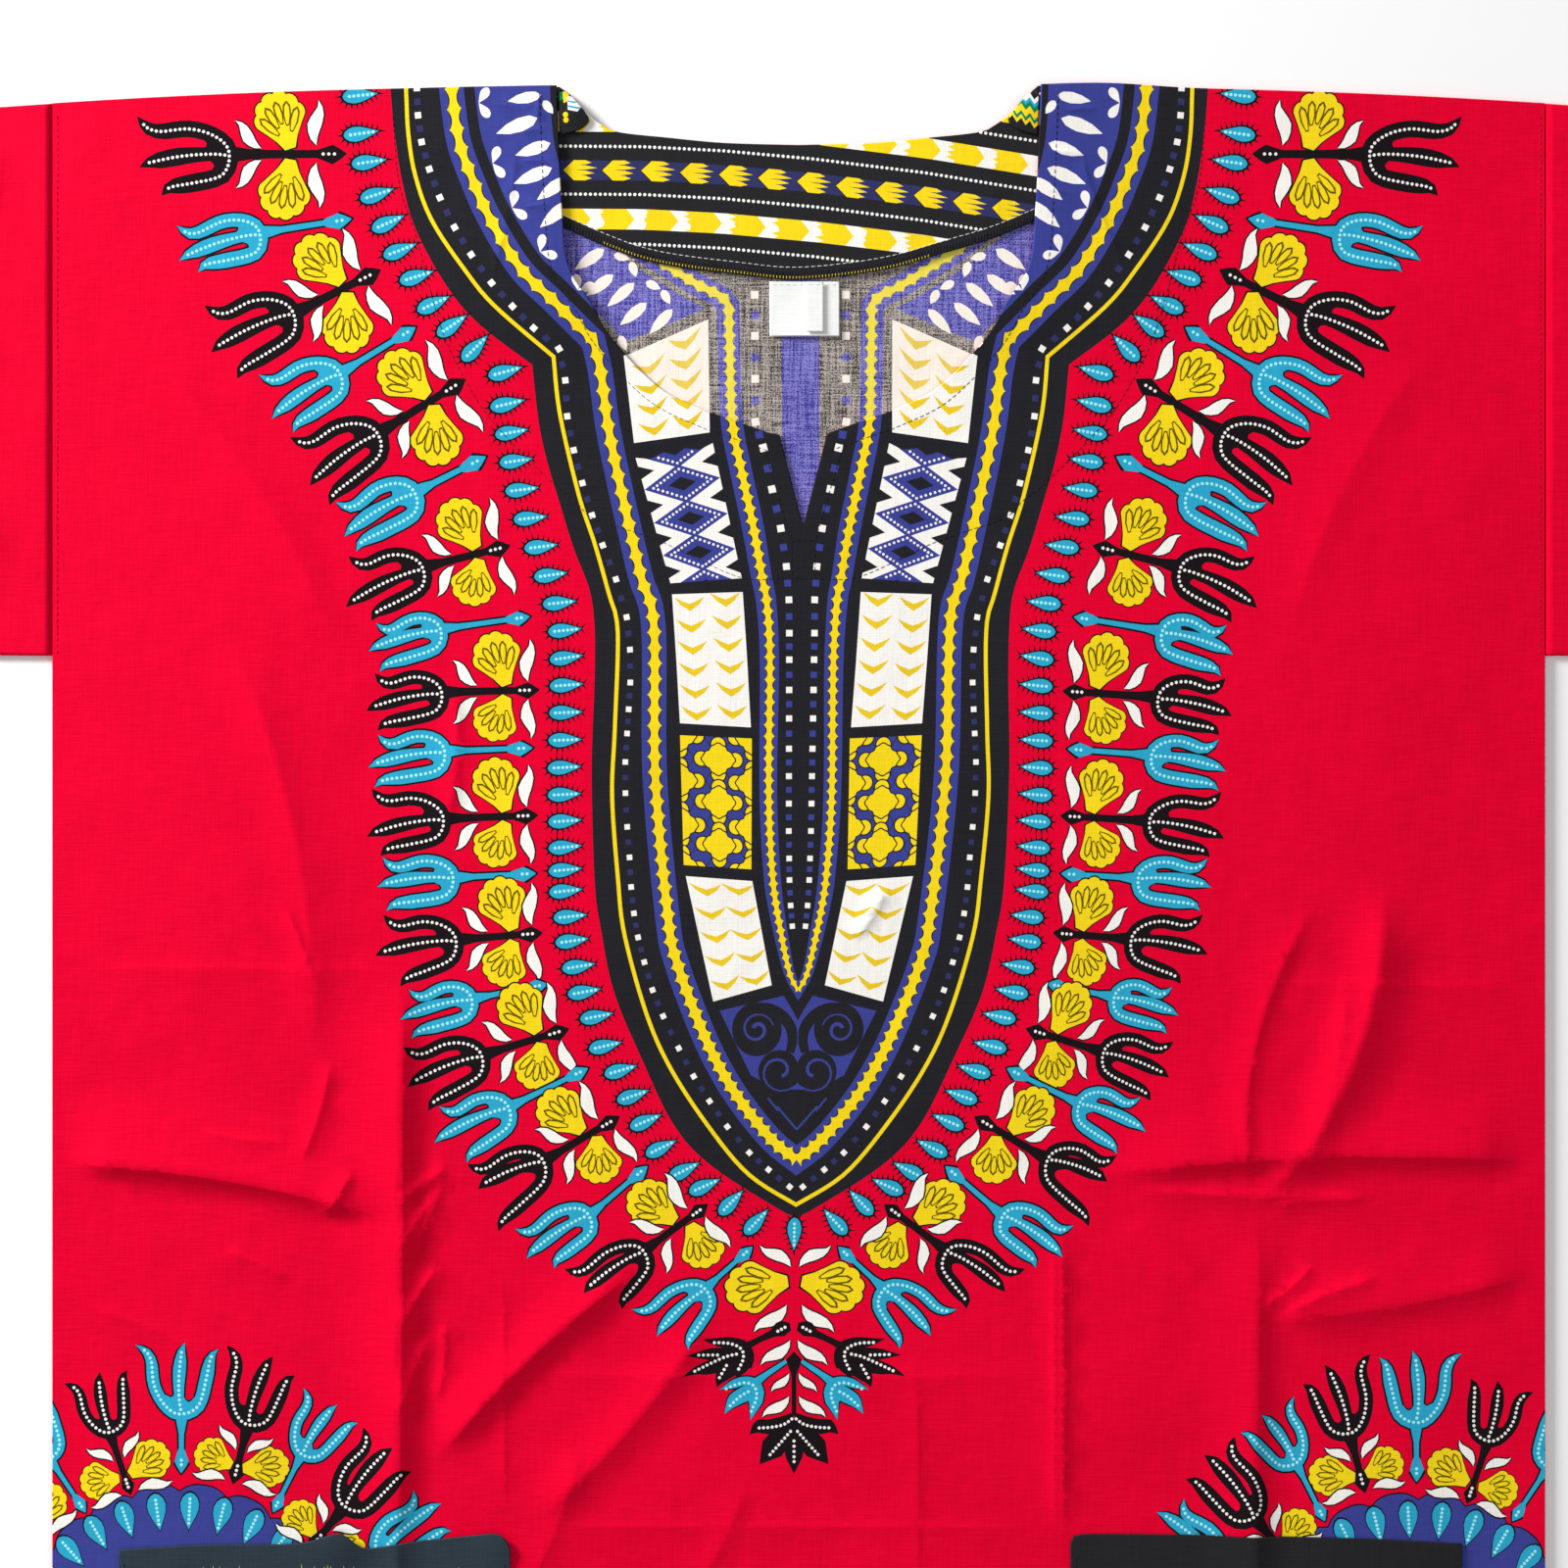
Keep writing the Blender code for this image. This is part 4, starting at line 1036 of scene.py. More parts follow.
def fringe_print(sheet):
    """The drops, forks, fan flowers and leaves round the neck print."""
    for u, d, tilt in DROPS:
        drop(sheet, (u, d), math.pi + math.radians(tilt), 0.92 if d > 150 else 0.97)
    drop(sheet, (-0.6, 527.0), math.pi / 2, 0.9, both=False)
    for index, (head, foot, *tips) in enumerate(FORKS):
        fork(sheet, (BLACK, TURQUOISE)[index % 2], head, foot, tips)
        if index % 2 == 0:
            shares = [
                float(np.interp(index, (0, 2, 6, 8), row))
                for row in ((0.27, 0.19, 0.11, 0.11), (0.52, 0.45, 0.40, 0.36),
                            (0.80, 0.77, 0.73, 0.70))
            ]
            lean = float(np.interp(index, (0, 2, 16, 18), (79, 62, 64, 84)))
            size, lower = (1.0, (1.0, lean, 1.12)) if index < 6 else (0.93, (0.94, lean, 1.0))
            on = 4.5 if head[1] > 450 else 0.0
            flowers_beside(sheet, head, foot, size, 1, True, shares, lower, on)
    fan(sheet, (3.6, 548.8), 0.17, 1.0, longer=1.17)
    for u, d, turn, size, flip in (
        (2.0, 541.9, -0.53, 1.0, -1), (3.6, 559.8, 0.63, 1.12, 1),
        (1.8, 576.0, 0.63, 1.02, 1), (2.3, 591.1, 0.73, 0.68, 1),
        (2.3, 601.7, 0.59, 0.90, 1),
    ):
        leaf(sheet, (u, d), turn, size, flip)
    for ink, petals, lines in SPRIGS:
        sprig(sheet, ink, petals, lines)
    sheet.dots(((0.0, 622.0), (0.0, 624.4), (0.0, 626.8), (0.0, 629.2), (0.0, 631.4)),
               0.8, WHITE, both=False)


def flowers_beside(sheet, head, foot, size, flip=1, both=True,
                   shares=(0.12, 0.38, 0.74), lower=(0.94, 79, 1.0), upper_on=0.0):
    """Two fan flowers and four leaves at the sides of a stem."""
    head, foot = np.array(head, float), np.array(foot, float)
    angle = heading(head, foot)
    long = math.hypot(*(foot - head))
    near, middle, far = shares
    for side, (grow, lean, longer) in ((-flip, (1.0, 72, 1.10)), (flip, lower)):
        on = upper_on if side == -flip else 0.0
        at = spun([(middle * long + on, side * 2.9)], head, angle)[0]
        fan(sheet, at, angle + side * math.radians(lean), size * grow, both, longer)
        at = spun([(near * long + on, side * 4.2)], head, angle)[0]
        leaf(sheet, at, angle + side * math.radians(97), 1.2 * size * grow, -side, both)
        at = spun([(far * long, side * 2.8)], head, angle)[0]
        leaf(sheet, at, angle + side * math.radians(51), 1.0 * size, -side, both)


def sprig(sheet, ink, petals, lines):
    """A cupped flower of pointed petals, dotted, on its stem."""
    for grow, colour in ((0.75, BLACK), (0.0, ink))[ink == BLACK:]:
        for rows, halves in petals:
            halves = np.array(halves) * np.where(np.array(halves) > 2.0, 1.16, 1.0)
            halves = halves + grow * np.clip(halves, 0.3, 1.0)
            sheet.fill(tapered(rows, halves, 1.8), colour)
    for line in lines:
        sheet.dots(spaced(curve(line, 1.0), 2.1), 0.8, WHITE if ink == BLACK else ICE)


def medallion_print(sheet):
    """The round figures at the lower corners."""
    turn = np.linspace(0, 2 * math.pi, 193)[:-1]
    reach = DISC_REACH * (1 - 0.035 * np.cos(2 * turn))
    reach = reach - 3.6 * (1 - np.abs(np.sin(turn * 12))) ** 1.5
    for centre, side in MEDALLIONS:
        for grow, ink in ((0.7, BLACK), (0.0, BLUE)):
            edge = np.stack([np.cos(turn), np.sin(turn)], 1) * (reach + grow)[:, None]
            sheet.fill(edge + centre, ink, both=False)

        def out(reach, degrees, centre=centre, side=side):
            angle = math.radians(degrees)
            return np.array((-side * math.sin(angle), -math.cos(angle))) * reach + centre

        for k in range(32):
            spot = out(DISC_DROPS, 3.4 + 11.25 * k)
            angle = heading(centre, spot)
            for size, ink in ((1.0, BLACK), (0.9, TURQUOISE)):
                shape = drop_shape(19.0 * size, 9.6 * size) * (-1, 1)
                sheet.fill(spun(shape, spot, angle), ink, both=False)
            dots = np.stack([np.linspace(-5.6, 5.6, 7), np.zeros(7)], 1)
            sheet.dots(spun(dots, spot, angle), 0.8, ICE, both=False)
        for k in range(24):
            rows, more = (MEDALLION_FORKS[k], 0) if k < 5 else (MEDALLION_FORKS[2], 15 * (k - 2))
            head, foot, *tips = [out(r, degrees + more) for r, degrees in rows]
            away = abs(head[1] - CORNER_MIDDLE_D)
            if abs(head[0]) > CORNER_REACH_U or away > CORNER_REACH_D:
                continue
            fork(sheet, (TURQUOISE, BLACK)[k % 2], head, foot, tips, False, -side)
            if k % 2:
                flowers_beside(sheet, head, foot, 0.78, side, False, (0.02, 0.32, 0.64))


def whole_print(fine=True):
    sheet, fringe = Print(fine), Print(fine)
    neck_print(sheet)
    fringe_print(fringe)
    medallion_print(fringe)
    sheet.shapes += [(p, JET if ink == BLACK else ink) for p, ink in fringe.shapes]
    return sheet


# -------------------------------------------------------------- border cloth
BORDER_PERIOD = 44.8  # mm from one block band to the next
STRIPE_BEND = ((-140, 0), (-110.4, 0), (-71.7, 0.3), (-34.4, 2.2),
               (7.2, 6), (57.5, 12.2), (110.3, 20.8), (140, 26.4))


def border_print(sheet, first, width, bend, blocks=(0, 1), last=None):
    """Bands of dots, arrowheads and pointed blocks across a strip of cloth."""
    xs, drops = np.array(bend).T
    rng = np.random.default_rng(3)

    def lay(points, ink):
        points = np.asarray(points, float)
        lower = np.stack([np.zeros(len(points)), np.interp(points[:, 0], xs, drops)], 1)
        sheet.fill(points + lower, ink, both=False)

    def band(low, high, ink):
        x = np.linspace(-width, width, max(2, int(width / 4)))
        lay([(a, low) for a in x] + [(a, high) for a in x[::-1]], ink)

    for block in blocks:
        middle = first + BORDER_PERIOD * block
        band(middle - 4.7, middle + 4.7, WHITE)
        for x in np.arange(-width + 3.0, width, 20.1):
            ragged = rng.uniform(0.4, 4.6, 9) * (1, 0.4, 1, 0.4, 1, 0.4, 1, 0.4, 1)
            teeth = [(x - r, middle - 4.7 + 1.175 * k) for k, r in enumerate(ragged)]
            nose = [(x + 9.6, middle + 4.7), (x + 13.4, middle), (x + 9.6, middle - 4.7)]
            lay(teeth + nose, YELLOW)
        for off in (-11.4, 11.4):
            for x in np.arange(-width, width, 2.27):
                y = middle + off + np.interp(x, xs, drops)
                sheet.dots((x, y), 0.84, WHITE, both=False)
        arrow = middle + BORDER_PERIOD / 2
        if block == last:
            continue
        for x in np.arange(-width + 6.0, width, 17.9):
            lay([(x + 8.0, arrow - 4.6), (x + 21.6, arrow - 4.4), (x + 17.4, arrow),
                 (x + 21.6, arrow + 4.4), (x + 8.0, arrow + 4.6)], NAVY)
            head = [(x, arrow), (x + 4.8, arrow - 4.6)]
            for y, reach, root in ((-3.6, 12.9, 6.8), (-1.2, 15.5, 5.2), (1.2, 14.3, 7.6),
                                   (3.6, 13.1, 10.4)):
                head += [(x + 10.3, arrow + y - 1.0), (x + reach, arrow + y + 0.1),
                         (x + 10.3, arrow + y + 0.85), (x + root, arrow + y + 1.05)]
            lay(head + [(x + 4.8, arrow + 4.65)], YELLOW)


# ------------------------------------------------------------------- meshes
def centre_shift(d):
    """The print's centre line wanders a little to each side."""
    return np.interp(d, (0.0, 250.0, 520.0, 570.0, 850.0), (0.2, 1.5, -1.3, -2.2, -2.0))


def print_place(points):
    """Turns places in the print into x and y, in m; the right side is pulled in."""
    u, d = np.asarray(points, float).T
    x = u + centre_shift(d)
    depths, across, down = np.array(PULL).T
    share = smooth((x - 95.0) / 90.0)
    x = x + np.interp(d, depths, across) * share
    lower = d + np.interp(d, depths, down) * share
    return np.stack([x * MM, SHOULDER_Y - lower * MM], 1)


def plain_place(points):
    x, d = np.asarray(points, float).T
    return np.stack([x * MM, SHOULDER_Y - d * MM], 1)


def tessellate(outline, shapes, spots, ground):
    """Cuts a flat panel into faces, each in the ink of its topmost shape."""
    scale = 1000.0
    points, faces, inks = [], [], []

    def add(loop, ink):
        if area_of(loop) < 0:
            loop = loop[::-1]
        first = len(points)
        points.extend(map(tuple, np.asarray(loop) * scale))
        faces.append(list(range(first, len(points))))
        inks.append(ink)

    add(np.asarray(outline), ground)
    low, high = np.min(outline, axis=0), np.max(outline, axis=0)
    for loop, ink in shapes:
        if (loop.max(axis=0) > low).all() and (loop.min(axis=0) < high).all():
            add(loop, ink)
    tree = kdtree.KDTree(len(points))
    for i, p in enumerate(points):
        tree.insert((p[0], p[1], 0), i)
    tree.balance()
    for spot, clear in spots:
        x, y = spot[0] * scale, spot[1] * scale
        if tree.find((x, y, 0))[2] > clear * scale:
            points.append((x, y))
    flat = [Vector(p) for p in points]
    made = delaunay_2d_cdt(flat, [], faces, 0, 1e-4, True)
    corners = np.array([(v.x, v.y) for v in made[0]]) / scale
    kept, kept_inks = [], []
    for face, source in zip(made[2], made[5]):
        if 0 in source:
            kept.append(tuple(face))
            kept_inks.append(inks[max(source)])
    used, flat_faces = np.unique(np.array(kept), return_inverse=True)
    return corners[used], flat_faces.reshape(-1, 3), np.array(kept_inks)


def boundary(faces):
    """The corners of the one open edge loop of some faces, in order."""
    after = {}
    for a, b, c in faces.tolist():
        for pair in ((a, b), (b, c), (c, a)):
            if (pair[1], pair[0]) in after:
                del after[(pair[1], pair[0])]
            else:
                after[pair] = True
    following = {a: b for a, b in after}
    start = next(iter(following))
    loop = [start]
    while following[loop[-1]] != start:
        loop.append(following[loop[-1]])
    return loop


def grid_spots(low, high, step, clear=0.4):
    """A field of points in rows, every second row shifted."""
    spots = []
    rows = int((high[1] - low[1]) / (step * 0.866))
    for r in range(rows + 1):
        y = low[1] + r * step * 0.866
        for x in np.arange(low[0] + (r % 2) * step / 2, high[0], step):
            spots.append(((x, y), clear * step))
    return spots


CREST_SHARES = (0.1, 0.3, 0.6)  # places beside a crest, as shares of its width


def crest_spots(rows, step=0.0036):
    """Points along each crease's crest and close beside it."""
    spots = []
    for x0, d0, x1, d1, bow, _, left, right in rows:
        start, end = np.array((x0, d0)), np.array((x1, d1))
        along = (end - start) / math.hypot(*(end - start))
        across = np.array((along[1], -along[0]))
        count = max(4, round(math.hypot(*(end - start)) * MM / step))
        offs = [0.0] + [left * k for k in CREST_SHARES] + [-right * k for k in CREST_SHARES]
        for i in range(count + 1):
            t = i / count
            spot = start + (end - start) * t + across * bow * 4 * t * (1 - t)
            for off in offs:
                x, d = (spot + across * off) * MM
                spots.append(((x, SHOULDER_Y - d), 0.0006))
    return spots


def inset(outline, off):
    """A closed outline moved off inwards; it runs counter-clockwise."""
    loop = np.asarray(outline, float)
    before = loop - np.roll(loop, 1, axis=0)
    after = np.roll(loop, -1, axis=0) - loop
    before /= np.hypot(*before.T)[:, None]
    after /= np.hypot(*after.T)[:, None]
    lean = np.maximum(1 + (before * after).sum(axis=1), 0.5)
    middle = (before + after) / lean[:, None]
    return loop + np.stack([-middle[:, 1], middle[:, 0]], 1) * off


def field_normals(field, places, step=0.0004):
    x, y = places.T
    gx = (field(x + step, y) - field(x - step, y)) / (2 * step)
    gy = (field(x, y + step) - field(x, y - step)) / (2 * step)
    normals = np.stack([-gx, -gy, np.ones(len(x))], 1)
    return normals / np.linalg.norm(normals, axis=1)[:, None]


def zipped(upper, lower, places):
    """Triangles between two loops that run the same way; places by index."""
    def runs(loop):
        ring = places[np.array(loop + loop[:1])]
        length = np.append(0.0, np.cumsum(np.hypot(*np.diff(ring, axis=0).T)))
        return length / length[-1]

    start = int(np.argmin(np.hypot(*(places[lower] - places[upper[0]]).T)))
    lower = lower[start:] + lower[:start]
    high, low = runs(upper), runs(lower)
    triangles, i, j = [], 0, 0
    while i < len(upper) or j < len(lower):
        a, b = upper[i % len(upper)], lower[j % len(lower)]
        if j >= len(lower) or (i < len(upper) and high[i + 1] <= low[j + 1]):
            triangles.append((a, b, upper[(i + 1) % len(upper)]))
            i += 1
        else:
            triangles.append((a, b, lower[(j + 1) % len(lower)]))
            j += 1
    return triangles


def mesh_object(name, verts, faces, materials):
    """A smooth mesh in the scene."""
    mesh = bpy.data.meshes.new(name)
    mesh.from_pydata(verts.tolist(), [], faces)
    for material in materials:
        mesh.materials.append(material)
    mesh.polygons.foreach_set("use_smooth", np.ones(len(faces), dtype=bool))
    made = bpy.data.objects.new(name, mesh)
    bpy.context.scene.collection.objects.link(made)
    return made


def edge_faces(upper, rim, middle, under_rim, flat, grounds):
    """The faces round a sheet's edge, and the ink of each."""
    owner = {}
    for face, ink in zip(upper[1].tolist(), upper[2].tolist()):
        for a, b in ((0, 1), (1, 2), (2, 0)):
            owner[(face[a], face[b])] = ink
    faces, inks = [], []
    for i in range(len(rim)):
        j = (i + 1) % len(rim)
        faces += [(rim[j], rim[i], middle[i]), (rim[j], middle[i], middle[j])]
        inks += [owner.get((rim[i], rim[j]), grounds[0])] * 2
    below = zipped(middle, under_rim, flat)
    return faces + below, inks + [grounds[1]] * len(below)


EDGE_LEAN = 1.2  # how far the edge's normals lean out


def leaning_normals(normals, loops, start, side, rim, under_rim, ring):
    """Each corner's normal; from start on, at the edge, they lean outwards."""
    out = np.zeros(normals.shape)
    out[rim] = side
    nearest = kdtree.KDTree(len(ring))
    for k, p in enumerate(ring):
        nearest.insert((p[0], p[1], 0), k)
    nearest.balance()
    for index, p in under_rim:
        out[index] = side[nearest.find((*p, 0))[1]]
    corners = normals[loops]
    corners[start:] += out[loops[start:]] * EDGE_LEAN
    corners[start:] /= np.linalg.norm(corners[start:], axis=1)[:, None]
    return corners


def make_sheet(name, outline, under, wall, top, low=((), 0), spots=(), step=0.006,
               low_step=0.012, materials=(), place=print_place, low_spots=()):
    """A sheet of cloth with a rounded edge, printed on top and underneath.

    top and low each hold the shapes and the ground's index in materials.
    """
    outline = np.asarray(outline)
    if area_of(outline) < 0:
        outline = outline[::-1]
    inner = inset(outline, EDGE)
    corners = [inner.min(axis=0), inner.max(axis=0)]
    upper = tessellate(
        inner, [(place(p), ink) for p, ink in top[0]],
        list(spots) + grid_spots(*corners, step), top[1],
    )
    rim = boundary(upper[1])
    lower = tessellate(
        upper[0][rim], [(place(p), ink) for p, ink in low[0]],
        list(low_spots) + grid_spots(*corners, low_step), low[1],
    )
    low_rim = boundary(lower[1])
    count = len(upper[0])
    ring = inset(upper[0][rim], -EDGE)
    flat = np.vstack([upper[0], lower[0], ring])
    heights = np.concatenate(
        [
            under(*upper[0].T) + wall,
            under(*lower[0].T),
            under(*ring.T) + wall / 2,
        ]
    )
    verts = np.column_stack([flat, heights])
    first_ring = count + len(lower[0])
    middle = list(range(first_ring, first_ring + len(rim)))
    under_rim = [i + count for i in low_rim]
    edge, edge_inks = edge_faces(upper, rim, middle, under_rim, flat, (top[1], low[1]))
    faces = [tuple(f) for f in upper[1].tolist()]
    faces += [(c + count, b + count, a + count) for a, b, c in lower[1].tolist()]
    start = 3 * len(faces)
    faces += edge
    inks = np.array(upper[2].tolist() + lower[2].tolist() + edge_inks, dtype=np.int32)
    out = flat[middle] - upper[0][rim]
    out /= np.maximum(np.hypot(*out.T), 1e-9)[:, None]
    side = np.column_stack([out, np.zeros(len(rim))])
    normals = np.vstack([field_normals(under, upper[0]), -field_normals(under, lower[0]), side])
    made = mesh_object(name, verts, faces, materials)
    made.data.polygons.foreach_set("material_index", inks)
    loops = np.array([i for face in faces for i in face])
    under_places = [(i, flat[i]) for i in under_rim]
    corners = leaning_normals(normals, loops, start, side, rim, under_places, flat[middle])
    made.data.normals_split_custom_set(corners.tolist())
    ink_tiles(made.data, verts, loops, inks, len(materials))
    return made


def ink_tiles(mesh, verts, loops, inks, tiles):
    """A flat map with a tile of its own for each ink."""
    side = math.ceil(math.sqrt(tiles))
    low, high = verts[:, :2].min(axis=0), verts[:, :2].max(axis=0)
    share = (verts[:, :2] - low) / (high - low).max()
    tile = np.repeat(inks, 3)
    offset = np.stack([tile % side, tile // side], 1)
    uv = (offset + 0.03 + 0.94 * share[loops]) / side
    layer = mesh.uv_layers.new(name="OFBake")
    layer.data.foreach_set("uv", uv.ravel())


# ---------------------------------------------------------------- materials
def srgb(red, green, blue):
    """A linear colour from display values out of 255."""
    def linear(v):
        v = v / 255
        return v / 12.92 if v <= 0.04045 else ((v + 0.055) / 1.055) ** 2.4

    return (linear(red), linear(green), linear(blue), 1.0)


def add_node(tree, kind, inputs=(), **settings):
    node = tree.nodes.new(kind)
    for key, value in settings.items():
        setattr(node, key, value)
    for key, value in dict(inputs).items():
        if isinstance(value, bpy.types.NodeSocket):
            tree.links.new(value, node.inputs[key])
        else:
            node.inputs[key].default_value = value
    return node


def noise(tree, coords, scale, detail=2.0):
    """Noise over the cloth; scale gives its grains a metre along each axis."""
    mapped = add_node(tree, "ShaderNodeMapping", {"Vector": coords, "Scale": scale})
    made = add_node(
        tree, "ShaderNodeTexNoise",
        {"Vector": mapped.outputs["Vector"], "Scale": 1.0, "Detail": detail},
    )
    return made.outputs["Fac"]


def weighted(tree, base, terms):
    """base plus each value, less a half, times its weight."""
    total = base
    for value, weight in terms:
        centred = add_node(tree, "ShaderNodeMath", {0: value, 1: 0.5}, operation="SUBTRACT")
        total = add_node(
            tree, "ShaderNodeMath",
            {0: centred.outputs[0], 1: weight, 2: total}, operation="MULTIPLY_ADD",
        ).outputs[0]
    return total


def cloth_group():
    """The weave: uneven threads both ways, flecks, mottling and wrinkles."""
    name = "cloth weave"
    if name in bpy.data.node_groups:
        return bpy.data.node_groups[name]
    tree = bpy.data.node_groups.new(name, "ShaderNodeTree")
    for socket, value in (
        ("Across", 0.5), ("Along", 0.3), ("Fleck", 0.2), ("Mottle", 0.4),
    ):
        made = tree.interface.new_socket(socket, in_out="INPUT", socket_type="NodeSocketFloat")
        made.default_value = value
    for socket in ("Tone", "Roughness", "Height"):
        tree.interface.new_socket(socket, in_out="OUTPUT", socket_type="NodeSocketFloat")
    start = tree.nodes.new("NodeGroupInput")
    end = tree.nodes.new("NodeGroupOutput")
    coords = tree.nodes.new("ShaderNodeTexCoord").outputs["Object"]
    across = noise(tree, coords, (70.0, 1300.0, 1.0), 3.0)
    along = noise(tree, coords, (1150.0, 42.0, 1.0), 3.0)
    fleck = noise(tree, coords, (1500.0, 1500.0, 1.0), 1.0)
    mottle = noise(tree, coords, (16.0, 16.0, 4.0), 4.0)
    tone = weighted(
        tree, 0.5,
        ((across, start.outputs["Across"]), (along, start.outputs["Along"]),
         (fleck, start.outputs["Fleck"]), (mottle, start.outputs["Mottle"])),
    )
    clamp = add_node(tree, "ShaderNodeClamp", {"Value": tone})
    tree.links.new(clamp.outputs[0], end.inputs["Tone"])
    rough = weighted(tree, 0.80, ((across, 0.16), (mottle, 0.18), (fleck, 0.08)))
    tree.links.new(rough, end.inputs["Roughness"])
    wrinkle = noise(tree, coords, (58.0, 34.0, 8.0), 3.0)
    broad = noise(tree, coords, (13.0, 22.0, 5.0), 2.0)
    height = weighted(
        tree, 0.5, ((across, 0.10), (along, 0.07), (wrinkle, 0.55), (broad, 1.3)),
    )
    tree.links.new(height, end.inputs["Height"])
    return tree


def cloth(name, dark, light, weave=(0.5, 0.3, 0.2, 0.4), sheen=0.0, bump=0.0012):
    """Woven cotton whose colour runs from dark to light with its threads."""
    if name in bpy.data.materials:
        return bpy.data.materials[name]
    material = bpy.data.materials.new(name)
    material.use_nodes = True
    tree = material.node_tree
    shader = tree.nodes["Principled BSDF"]
    group = tree.nodes.new("ShaderNodeGroup")
    group.node_tree = cloth_group()
    for socket, value in zip(("Across", "Along", "Fleck", "Mottle"), weave):
        group.inputs[socket].default_value = value
    mixed = add_node(
        tree, "ShaderNodeMix", {0: group.outputs["Tone"], 6: dark, 7: light},
        data_type="RGBA",
    )
    tree.links.new(mixed.outputs[2], shader.inputs["Base Color"])
    tree.links.new(group.outputs["Roughness"], shader.inputs["Roughness"])
    lifted = add_node(
        tree, "ShaderNodeBump",
        {"Height": group.outputs["Height"], "Strength": 0.9, "Distance": bump},
    )
    tree.links.new(lifted.outputs["Normal"], shader.inputs["Normal"])
    shader.inputs["Sheen Weight"].default_value = sheen
    shader.inputs["Sheen Roughness"].default_value = 0.45
    shader.inputs["Specular IOR Level"].default_value = 0.03
    material.diffuse_color = tuple((a + b) / 2 for a, b in zip(dark, light))
    return material


def ink_range(colour, low, high):
    return (tuple(v * low for v in colour[:3]) + (1.0,),
            tuple(min(v * high, 1.0) for v in colour[:3]) + (1.0,))


def print_materials(kit):
    """The inks on the right side of the cloth, in the order of INKS."""
    spread = {"black": (0.72, 1.45), "white": (0.94, 1.02)}
    made = []
    for ink in INKS:
        dark, light = ink_range(tuple(getattr(kit, ink)), *spread.get(ink, (0.84, 1.16)))
        weave = (0.7, 0.3, 0.3, 0.4)
        if ink == "red":
            light = (light[0], light[1] + 0.001, light[2] + 0.006, 1.0)
            weave = (1.1, 0.5, 0.5, 0.5)
        made.append(cloth("cotton_" + ink, dark, light, weave))
    return made


def wrong_side_materials():
    """The same inks as they show through on the wrong side, paler and flecked."""
    heather = (2.4, 2.4, 3.2, 0.3)
    soft = (0.4, 0.8, 0.5, 0.4)
    rows = (
        ("red", (178, 20, 52), (226, 66, 92), soft),
        ("black", (44, 38, 36), (188, 178, 170), heather),
        ("turquoise", (70, 160, 196), (150, 206, 226), soft),
        ("blue", (50, 46, 140), (140, 134, 205), heather),
        ("yellow", (226, 204, 40), (244, 230, 104), soft),
        ("white", (238, 228, 214), (250, 242, 232), soft),
        ("olive", (160, 150, 60), (200, 190, 110), soft),
        ("navy", (66, 62, 130), (150, 146, 190), heather),
        ("ice", (150, 206, 216), (214, 240, 244), soft),
        ("gold", (222, 186, 60), (240, 214, 110), soft),
        ("jet", (40, 30, 34), (150, 130, 134), heather),
    )
    return [
        cloth("wrong_side_" + ink, srgb(*dark), srgb(*light), weave, 0.02)
        for ink, dark, light, weave in rows
    ]


def border_materials(kit, ground="border_black"):
    """The border cloth's inks, in the order of INKS, with green for olive."""
    made = []
    for ink in INKS[:6] + ("green", "navy"):
        name = ground if ink == "black" else ink
        spread = (0.70, 1.36) if ink == "black" else (0.88, 1.12)
        colour = tuple(getattr(kit, name))
        made.append(cloth("border_" + name, *ink_range(colour, *spread)))
    return made


def tape_material():
    """White woven tape with a faint satin shine."""
    made = cloth("label_tape", srgb(222, 224, 222), srgb(250, 250, 247),
                 (0.9, 0.2, 0.3, 0.3), 0.25, 0.0006)
    made.node_tree.nodes["Principled BSDF"].inputs["Specular IOR Level"].default_value = 0.5
    return made


# ------------------------------------------------------------------ outlines
def shoulder_line(side):
    xs = side * np.linspace(SIDE, NECK_HALF, 47)
    return np.stack([xs, shoulder_depth(xs)], 1)


def neck_front_line(step=3.0):
    """The front neck edge from the right shoulder round to the left, in m."""
    half = curve(NECK_FRONT, step) * MM
    half[0] = (half[0][0], float(shoulder_depth(NECK_HALF)))
    other = half[::-1] * (-1, 1)
    other[-1] = (other[-1][0], float(shoulder_depth(-NECK_HALF)))
    mouth_d = half[-1][1]
    tip = (SLIT_X, SLIT_TIP_D * MM)
    right = spaced([(SLIT_X + SLIT_MOUTH_HALF * MM, mouth_d), tip], step * MM)
    left = spaced([tip, (SLIT_X - SLIT_MOUTH_HALF * MM, mouth_d)], step * MM)
    return np.vstack([half[:-1], right, left[1:], other[1:]])


def neck_back_line(step=3.0):
    half = curve(NECK_BACK, step) * MM
    half[0] = (half[0][0], float(shoulder_depth(half[0][0])))
    other = half[::-1] * (-1, 1)
    other[-1] = (other[-1][0], float(shoulder_depth(other[-1][0])))
    return np.vstack([half, other[1:]])


def panel_outline(neck):
    """A body panel's outline, counter-clockwise from the hem's left end."""
    hem = SHOULDER_Y + LENGTH / 2
    right_d, left_d = float(shoulder_depth(SIDE)), float(shoulder_depth(-SIDE))
    parts = [
        spaced([(-SIDE, hem), (SIDE, hem)], 0.005)[:-1],
        spaced([(SIDE, hem), (SIDE, right_d)], 0.005)[:-1],
        shoulder_line(1)[:-1],
        neck,
        shoulder_line(-1)[::-1][1:-1],
        spaced([(-SIDE, left_d), (-SIDE, hem)], 0.005)[:-1],
    ]
    line = np.vstack(parts)
    return np.stack([line[:, 0], SHOULDER_Y - line[:, 1]], 1)


